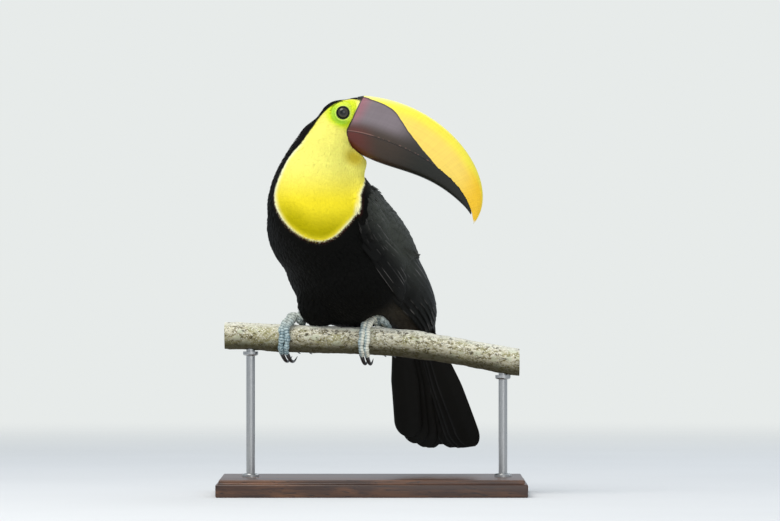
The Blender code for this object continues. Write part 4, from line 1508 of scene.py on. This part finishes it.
def makeLid(side, material, ground):
    middle, out, up, ahead = (np.array(v) for v in eyeAxes(side))
    lid = np.array(eye["lid"]) / 1000
    blend = np.array(eye["blend"])
    rows = np.linspace(0, 1, len(lid))
    above = 0.03                                # where the rays down to the skin start

    def fold(u, w):
        turn = u * 2 * math.pi
        far = np.interp(w, rows, lid[:, 0])
        high = np.interp(w, rows, lid[:, 1])
        ring = np.cos(turn)[:, None] * ahead + np.sin(turn)[:, None] * up
        # a shade flatter above and below, like a lid's opening
        opening = 1 - 0.05 * np.sin(turn) ** 2 * (1 - w)
        spot = middle + ring * (far * opening)[:, None]
        result = np.empty_like(spot)
        share = np.interp(w, rows, blend)
        for k, place in enumerate(spot):
            hit = ground.ray_cast(Vector(place + out * above), Vector(-out), 0.05)
            level = above - hit[3] if hit[0] is not None else high[k]
            level = max(level, high[k] - 0.0025)
            rise = high[k] + (level - high[k]) * share[k]
            # never below the skin before it ends
            result[k] = place + out * (max(rise, level + 0.0002) if 0.1 < w[k] < 0.93 else rise)
        crease = 0.00022 * np.sin(turn * 34 + 3 * np.sin(w * 9)) + 0.00016 * np.sin(turn * 61 + 7 * w)
        wave = crease * smoothStep(0.12, 0.3, w) * smoothStep(1.0, 0.85, w)
        rings = 0.00016 * np.sin(w * 52 + 1.5 * np.sin(turn * 5))
        rings = rings * smoothStep(0.3, 0.45, w) * smoothStep(1.0, 0.9, w)
        result += out * (wave + rings)[:, None]
        sink = smoothStep(0.93, 1.0, w) * 0.0012
        return result - out * sink[:, None]

    bm = layGrid(eye["lidAround"], eye["lidAlong"], fold)
    bmesh.ops.recalc_face_normals(bm, faces=bm.faces)
    facing = sum((f.normal.dot(Vector(out)) * f.calc_area() for f in bm.faces), 0.0)
    if facing < 0:
        bmesh.ops.reverse_faces(bm, faces=bm.faces)
    bmesh.ops.solidify(bm, geom=bm.faces[:], thickness=0.0004)
    bmesh.ops.recalc_face_normals(bm, faces=bm.faces)
    word = sideWord(side)
    mesh = meshFrom(word + "Lid", bm)
    paint(mesh, lidColours(pointsOf(mesh)))
    return settle(link(word + "Lid", mesh, material))


def lidColours(points):
    far, head = eyeDistance(points)
    colours = colourAt(points)
    pale = smoothStep(6.9, 7.5, far) * smoothStep(8.8, 8.0, far)
    colours = blendTo(colours, eye["paleLid"], pale * 0.8)
    return blendTo(colours, eye["ring"], smoothStep(7.3, 6.8, far))


# Feet: shank and four toes with overlapping scutes, and a claw at each toe's end.

feet = {
    "right": {"root": -77, "heel": (-64.5, 6, 34), "front": (-93.8, -88.3), "rear": (-85, -73), "drift": 11},
    "left": {"root": 3, "heel": (1, 8, 34), "front": (-10.8, -5.4), "rear": (8, 18), "drift": 7},
    "reach": {"front": 147, "rear": 86},        # degrees round the branch at a toe's end
    "shank": [4.6, 4.4, 4.0, 4.0, 4.1],         # radius from the toes up
    "toeRadius": 3.2,
    "around": 28,
    "scutes": 18,
    "scuteHeight": 0.36,
    "clawArch": 5.5,
    "shadow": srgb(38, 54, 60),
    "blue": srgb(88, 116, 126),
    "pale": srgb(186, 204, 204),
    # painted sunlight on the left foot and the tops of the toes
    "sunlitCream": srgb(244, 240, 220),
}
toeNames = {"front": ("second", "third"), "rear": ("first", "fourth")}


def perchAxis(x):
    return perch["height"] + np.interp(x, *np.array(perch["path"], float).T)


def roundPerch(x, turn, radius):
    # mm along the branch, angle from its top towards the front, mm from its axis
    return np.column_stack([x, -radius * np.sin(turn), perchAxis(x) + radius * np.cos(turn)]) / 1000


def frames(line):
    # tangent and two cross directions along a line, the first towards the branch's outside
    way = unit(np.gradient(line, axis=0))
    axis = np.column_stack([line[:, 0], np.zeros(len(line)), perchAxis(line[:, 0] * 1000) / 1000])
    out = unit(line - axis)
    out = unit(out - way * (out * way).sum(-1, keepdims=True))
    return way, out, np.cross(way, out)


def tubeAlong(line, out, across, radius, around, bump=None, rows=1):
    # a closed tube whose radius and bumps follow the line
    steps = len(line) - 1

    def place(u, w):
        at = w * steps
        k = np.minimum(at.astype(int), steps - 1)
        share = (at - k)[:, None]
        middle = line[k] * (1 - share) + line[k + 1] * share
        o = unit(out[k] * (1 - share) + out[k + 1] * share)
        c = unit(across[k] * (1 - share) + across[k + 1] * share)
        turn = u * 2 * math.pi
        r = np.interp(w, np.linspace(0, 1, len(radius)), radius) / 1000
        if bump is not None:
            r = r + bump(turn, w) / 1000
        ends = np.sqrt(np.clip(np.minimum(w, 1 - w) / 0.025, 0, 1))
        r = r * ends
        return middle + (np.cos(turn) * r)[:, None] * o + (np.sin(turn) * r)[:, None] * c

    return wrap(around, steps, place, rows)


def joinBmesh(target, source):
    mesh = bpy.data.meshes.new("part")
    source.to_mesh(mesh)
    source.free()
    target.from_mesh(mesh)
    bpy.data.meshes.remove(mesh)


def toeLine(root, end, facing, steps=170):
    t = np.linspace(0, 1, steps + 1)
    turn = np.radians(feet["reach"][facing] * t - 7 * (1 - t)) * (1 if facing == "front" else -1)
    start = root + 0.3 * (end - root)
    x = start + (end - start) * np.minimum(1, 2.2 * t) ** 0.8 + 0.7 * np.sin(t * 13 + end)
    clear = perch["radius"] + feet["toeRadius"] * (1.25 + 1.3 * np.exp(-(5 * t) ** 2))
    return roundPerch(x, turn, clear)


def scuteBump(count, height):
    def bump(turn, w):
        pad = 1 - np.abs(2 * (w * count % 1) - 1) ** 2.5
        pad = pad * (1 + 0.3 * np.sin(w * count * 2.1 + count))
        outer = smoothStep(-0.35, 0.25, np.cos(turn))
        under = 0.32 * np.cos(w * 4.5 * 2 * math.pi) * smoothStep(0.1, -0.7, np.cos(turn))
        side = 0.12 * np.cos(turn * 7) * np.cos(w * count * 4 * math.pi) * (1 - outer)
        joint = 0.38 * np.sin(w * 5.2 * 2 * math.pi + count)
        joint = joint * smoothStep(0, 0.15, w) * smoothStep(1, 0.85, w)
        return height * (pad - 0.6) * outer + under + side + joint
    return bump


def makeFoot(word, material, clawMaterial):
    foot = feet[word]
    joined = bmesh.new()
    root = roundPerch(np.array([foot["root"]]), np.array([0.0]), perch["radius"] + feet["toeRadius"] * 2.3)[0]
    heel = np.array(foot["heel"]) / 1000 + (0, 0, perch["height"] / 1000)
    t = np.linspace(0, 1, 49)[:, None]
    line = root + (heel - root) * t
    way = unit(heel - root)
    out = unit(np.cross(way, (0, 1, 0)))
    front = np.tile(np.cross(out, way), (len(line), 1))
    side = np.tile(out, (len(line), 1))
    if front[0, 1] > 0:
        front, side = -front, -side
    joinBmesh(joined, tubeAlong(line, front, side, feet["shank"], feet["around"], scuteBump(5, 0.3), 5))
    for facing in toeNames:
        for extra, (name, end) in enumerate(zip(toeNames[facing], foot[facing])):
            line = toeLine(foot["root"], end, facing)
            way, out, across = frames(line)
            share = np.linspace(0, 1, 30)
            radius = feet["toeRadius"] * (1.12 - 0.32 * share + 0.34 * np.exp(-(share / 0.17) ** 2))
            count = feet["scutes"] + extra - (0 if facing == "front" else 6)
            bump = scuteBump(count, feet["scuteHeight"])
            joinBmesh(joined, tubeAlong(line, out, across, radius, feet["around"], bump, count))
            makeClaw(word, name, end, foot["drift"], facing, clawMaterial)
    piece = link(word + "Foot", meshFrom(word + "Foot", joined, 60), material)
    return settle(piece, ["foot_" + word])


def clawGroove(turn, w):
    # a shallow channel along each side of the claw
    return -0.10 * np.exp(-((np.abs(np.sin(turn)) - 0.8) / 0.2) ** 2) * (1 - w)


def makeClaw(word, name, end, drift, facing, material):
    t = np.linspace(-0.08, 1, 41)
    turn = np.radians(feet["reach"][facing] - 3 + 60 * t) * (1 if facing == "front" else -1)
    arch = feet["clawArch"] * np.sin(math.pi * 0.94 * np.maximum(t, 0))
    clear = perch["radius"] + feet["toeRadius"] * 1.25 + arch
    line = roundPerch(end + drift * t, turn, clear)
    way, out, across = frames(line)
    share = np.linspace(0, 1, 30)
    radius = 2.2 * (1 - share ** 1.9) + 0.12
    title = f"{word}{name.title()}Claw"
    mesh = meshFrom(title, tubeAlong(line, out, across, radius, 20, clawGroove))
    return settle(link(title, mesh, material), [f"claw_{word}_{name}"])


def footMaterial():
    material, tree, shader = newMaterial("footScales", {"Specular IOR Level": 0.4})
    sheet = mapPlace(tree)
    around, along = split(tree, sheet)[:2]
    # a broad plate to each row in front, small scales at the sides and underneath
    beat = compute(tree, "ABSOLUTE", minus(tree, compute(tree, "FRACT", along), 0.5))
    plates = ramp(tree, beat, 0.49, 0.36)
    spot = scaleVector(tree, sheet, (11, 2.2, 1))
    cells = addNode(tree, "TexVoronoi", {"Vector": spot, "Scale": 1.0}, feature="DISTANCE_TO_EDGE")
    small = ramp(tree, cells.outputs["Distance"], 0.02, 0.16)
    turn = times(tree, around, 2 * math.pi)
    facing = compute(tree, "COSINE", turn)
    outer = ramp(tree, facing, -0.2, 0.2)
    crease = timesPlus(tree, outer, minus(tree, plates, small), small)
    where = split(tree, objectPlace(tree))
    mottle = plainNoise(tree, 420.0)
    broad = plainNoise(tree, 130.0)
    base = mixColour(tree, ramp(tree, mottle, 0.32, 0.66), feet["blue"], feet["pale"])
    # painted light: the left foot on its lit side and the tops of the toes are paler
    flank = compute(tree, "SINE", turn)
    leftFoot = ramp(tree, where[0], -0.05, 0.0)
    sunny = times(tree, leftFoot, ramp(tree, flank, 0.6, -0.4, 0.15, 1.0))
    high = ramp(tree, where[2], 0.166, 0.186)
    light = compute(tree, "MAXIMUM", sunny, times(tree, high, 0.45))
    light = times(tree, light, ramp(tree, broad, 0.3, 0.5, 0.5, 1.0))
    base = mixColour(tree, light, base, feet["sunlitCream"])
    crease = compute(tree, "MAXIMUM", crease, times(tree, light, 0.55))
    base = mixColour(tree, crease, feet["shadow"], base)
    rough = timesPlus(tree, mottle, 0.25, 0.38)
    height = timesPlus(tree, crease, 1.0, times(tree, mottle, 0.3))
    finishMaterial(tree, shader, base, rough, height, 0.6, 0.0003)
    return material


def clawHornMaterial():
    material, tree, shader = newMaterial("clawHorn", {"Specular IOR Level": 0.55, "Coat Weight": 0.3,
                                                      "Coat Roughness": 0.15})
    fibres = stretched(tree, (26, 4, 1), 4.0)
    base = mixColour(tree, ramp(tree, fibres, 0.35, 0.75), srgb(16, 15, 15), srgb(52, 48, 46))
    rough = timesPlus(tree, fibres, 0.2, 0.18)
    finishMaterial(tree, shader, base, rough, fibres, 0.3, 0.0002)
    return material


# Branch and display stand.

perch = {
    "height": 160,
    "radius": 14.5,
    # mm along, mm above the height
    "path": [(-153, 5), (-127, 4), (-96, 2.1), (-44, 0.4), (0, -1), (29, -2.7), (56, -6), (81, -10.2),
             (108, -15), (133, -20), (153, -23.5)],
    "around": 120,
    "along": 640,
    "knots": [(6, 28, 6, 3.4), (-32, 70, 6, 1.0), (46, 100, 6, 1.1), (96, 60, 8, 1.3), (-112, 80, 6, 1.0),
              (-60, 240, 7, 1.2), (60, 250, 7, 1.2)],       # mm along, degrees round, mm wide, mm high
}


def perchPlace(u, w):
    path = np.array(perch["path"], float)
    # past the ends of the bark the cut faces close in to the middle
    bark = np.clip((w - 0.03) / 0.94, 0, 1)
    x = path[0, 0] + (path[-1, 0] - path[0, 0]) * bark
    z = np.interp(x, path[:, 0], path[:, 1])
    blur = sum(np.interp(x + k, path[:, 0], path[:, 1]) for k in (-12, -6, 6, 12))
    z = (z + blur) / 5
    shut = np.minimum(np.minimum(w, 1 - w) / 0.03, 1)
    turn = u * 2 * math.pi
    radius = perch["radius"] * (1 + 0.02 * np.sin(x / 19) + 0.012 * np.sin(x / 7.3 + 2))
    rough = np.empty(len(u))
    for k in range(len(u)):
        c, s = math.cos(turn[k]), math.sin(turn[k])
        spot = Vector((x[k] * 0.05, c * 0.9, s * 0.9))
        fine = Vector((x[k] * 0.16, c * 3.4, s * 3.4))
        grain = Vector((x[k] * 0.30, c * 8.5, s * 8.5))
        rough[k] = 0.75 * noise.noise(spot) + 0.42 * noise.noise(fine) + 0.30 * noise.noise(grain)
    for along, around, wide, high in perch["knots"]:
        off = np.degrees((turn - math.radians(around) + math.pi) % (2 * math.pi) - math.pi)
        far = np.hypot(x - along, off * 0.25) / wide
        rough += high * np.exp(-far ** 2) - 0.9 * high * np.exp(-(far * 2.6) ** 2)
    rough = np.where(rough > 0, rough, rough * 0.8)
    radius = (radius + rough - 0.35) * shut
    return np.column_stack([x, -radius * np.sin(turn), perch["height"] + z + radius * np.cos(turn)]) / 1000


def makePerch(material):
    mesh = meshFrom("branch", wrap(perch["around"], perch["along"], perchPlace), 55)
    return settle(link("branch", mesh, material), ["perch"])


def barkMaterial():
    material, tree, shader = newMaterial("bark", {"Specular IOR Level": 0.25})
    spot = scaleVector(tree, objectPlace(tree), (0.62, 1.0, 1.0))

    def grain(scale, detail):
        return noiseAt(tree, spot, scale, detail, 0.6)

    broad = grain(60.0, 4.0)
    middle = grain(300.0, 5.0)
    fine = grain(900.0, 3.0)
    base = mixColour(tree, ramp(tree, middle, 0.40, 0.58), srgb(112, 102, 70), srgb(228, 220, 194))
    base = mixColour(tree, ramp(tree, broad, 0.46, 0.62, 0.0, 0.75), base, srgb(164, 158, 106))
    base = mixColour(tree, ramp(tree, fine, 0.51, 0.62), base, srgb(248, 244, 228))
    # scraps of lichen
    cells = addNode(tree, "TexVoronoi", {"Vector": spot, "Scale": 120.0, "Randomness": 1.0})
    nearness = minus(tree, cells.outputs["Distance"], 0.175)
    ragged = timesPlus(tree, fine, 0.35, nearness)
    patches = ramp(tree, grain(75.0, 2.0), 0.44, 0.52)
    scrap = times(tree, ramp(tree, ragged, 0.42, 0.28), patches)
    base = stain(tree, base, scrap, 0.8, srgb(222, 224, 196))
    # painted light: paler on top; darker and greener towards the underside, partly olive moss and partly
    # painted shade
    parts = split(tree, mapPlace(tree))
    down = compute(tree, "ABSOLUTE", minus(tree, parts[0], 0.5))
    down = timesPlus(tree, broad, 0.08, minus(tree, down, 0.04))
    base = mixColour(tree, ramp(tree, down, 0.34, 0.45, 0.0, 0.6), base, srgb(246, 244, 232))
    base = mixColour(tree, ramp(tree, down, 0.34, 0.22, 0.0, 0.5), base, srgb(110, 102, 64))
    base = mixColour(tree, ramp(tree, down, 0.25, 0.13, 0.0, 0.85), base, srgb(46, 42, 14))
    # painted shade in the pits, which the relief also sinks
    pits = ramp(tree, grain(330.0, 4.0), 0.41, 0.34)
    base = stain(tree, base, pits, 0.85, srgb(56, 46, 28))
    # sawn ends with year rings
    end = compute(tree, "MINIMUM", parts[1], minus(tree, 1.0, parts[1]))
    sawn = ramp(tree, end, 0.0299, 0.0295)
    grown = timesPlus(tree, broad, 0.004, end)
    rings = compute(tree, "SINE", times(tree, grown, 2600.0))
    wood = mixColour(tree, ramp(tree, rings, -0.6, 0.8), srgb(166, 132, 88), srgb(206, 178, 130))
    base = mixColour(tree, sawn, base, wood)
    rough = timesPlus(tree, middle, 0.2, 0.72)
    height = timesPlus(tree, middle, 1.0, timesPlus(tree, fine, 0.35, broad))
    height = minus(tree, height, times(tree, pits, 0.6))
    finishMaterial(tree, shader, base, rough, height, 0.8, 0.0009)
    return material


stand = {
    "size": (0.320, 0.210, 0.018),
    "step": 0.0045,
    "stepHeight": 0.0045,
    "rods": {"left": -0.126, "right": 0.136},
    "rodRadius": 0.0045,
    "socket": 0.006,
}


def makeBase(material):
    bm = bmesh.new()
    wide, deep, high = stand["size"]
    low = high - stand["stepHeight"]
    slab = Matrix.Translation((0, 0, low / 2)) @ Matrix.Diagonal((wide, deep, low, 1))
    bmesh.ops.create_cube(bm, size=1, matrix=slab)
    top = [face for face in bm.faces if face.normal.z > 0.9]
    bmesh.ops.inset_region(bm, faces=top, thickness=stand["step"], depth=0)
    raised = bmesh.ops.extrude_face_region(bm, geom=top)["geom"]
    bmesh.ops.delete(bm, geom=top, context="FACES")
    bmesh.ops.translate(bm, verts=[g for g in raised if isinstance(g, bmesh.types.BMVert)],
                        vec=(0, 0, stand["stepHeight"]))
    bmesh.ops.recalc_face_normals(bm, faces=bm.faces)
    sharp = [edge for edge in bm.edges if edge.calc_face_angle(0) > 0.5]
    bmesh.ops.bevel(bm, geom=sharp, offset=0.0016, segments=4, profile=0.5, affect="EDGES", material=-1)
    piece = link("standBase", meshFrom("standBase", bm, 35), material)
    return settle(piece, ["stand_base"])


def woodMaterial():
    material, tree, shader = newMaterial("standWood", {"Coat Weight": 0.25, "Coat Roughness": 0.2})
    where = objectPlace(tree)
    bend = noiseAt(tree, where, 7.0, 2.0)
    parts = split(tree, where)
    across = timesPlus(tree, bend, 0.05, parts[1])
    drawn = times(tree, parts[0], 0.06)
    long = addNode(tree, "CombineXYZ", {0: drawn, 1: across, 2: parts[2]}).outputs[0]
    bands = noiseAt(tree, long, 110.0)
    pores = noiseAt(tree, long, 900.0, 2.0)
    base = mixColour(tree, ramp(tree, bands, 0.35, 0.68), srgb(58, 34, 20), srgb(112, 72, 44))
    base = mixColour(tree, ramp(tree, pores, 0.55, 0.72), base, srgb(38, 22, 14))
    rough = timesPlus(tree, bands, 0.18, 0.30)
    finishMaterial(tree, shader, base, rough, pores, 0.15, 0.0003)
    return material


def makeRod(word, material):
    x = stand["rods"][word]
    low = stand["size"][2] - stand["socket"]
    high = (perchAxis(x * 1000) - perch["radius"]) / 1000 + stand["socket"]
    floor = stand["size"][2]
    roof = high - stand["socket"] - 0.0012
    r = stand["rodRadius"]
    # collars at both ends, turned from the same bar
    rows = [(low, 0), (low, r), (floor, r), (floor, r * 2.0), (floor + 0.0022, r * 2.0),
            (floor + 0.0034, r * 1.75), (floor + 0.0040, r), (roof - 0.0046, r), (roof - 0.0040, r * 1.55),
            (roof - 0.0030, r * 1.75), (roof, r * 1.75), (roof, r), (high, r), (high, 0)]
    bm = bmesh.new()
    verts = [bm.verts.new((radius, 0, z)) for z, radius in rows]
    edges = [bm.edges.new(pair) for pair in zip(verts, verts[1:])]
    bmesh.ops.spin(bm, geom=verts + edges, cent=(0, 0, 0), axis=(0, 0, 1), angle=2 * math.pi, steps=48,
                   use_merge=True)
    bmesh.ops.remove_doubles(bm, verts=bm.verts, dist=1e-6)
    bmesh.ops.recalc_face_normals(bm, faces=bm.faces)
    bmesh.ops.translate(bm, verts=bm.verts, vec=(x, 0, 0))
    piece = link(word + "Rod", meshFrom(word + "Rod", bm, 35), material)
    return settle(piece, ["stand_rod_" + word])


def steelMaterial():
    material, tree, shader = newMaterial("brushedSteel", {"Metallic": 1.0})
    lines = noiseAt(tree, scaleVector(tree, objectPlace(tree), (1.0, 1.0, 12.0)), 260.0, 3.0)
    base = mixColour(tree, lines, srgb(150, 150, 150), srgb(205, 205, 203))
    rough = timesPlus(tree, lines, 0.22, 0.22)
    finishMaterial(tree, shader, base, rough, lines, 0.1, 0.0002)
    return material


print("growing the coat")
billTree = treeOf(["bill_upper", "bill_lower"])
thighTree = treeOf(["thigh_left", "thigh_right"])
survey = surveyCoat()
buildStudio()
plumageKinds = plumageMaterials()
birdSkin = skinMaterial()
skin = makeSkin(birdSkin)
growCoat(plumageKinds)

print("laying wings and tail")
layWing(1, "Left", plumageKinds["wing"])
layWing(-1, "Right", plumageKinds["wing"])
layTail(plumageKinds["tail"])

print("making the bill and the eyes")
horn = hornMaterial()
makeMandible(True, horn)
makeMandible(False, horn)
skinTree = treeFrom(skin.data)
wetEye = eyeMaterial()
for side in (1, -1):
    makeEye(side, wetEye)
    makeLid(side, birdSkin, skinTree)

print("making feet, branch and stand")
scales = footMaterial()
clawHorn = clawHornMaterial()
for word in ("left", "right"):
    makeFoot(word, scales, clawHorn)
makePerch(barkMaterial())
makeBase(woodMaterial())
steel = steelMaterial()
for word in ("left", "right"):
    makeRod(word, steel)
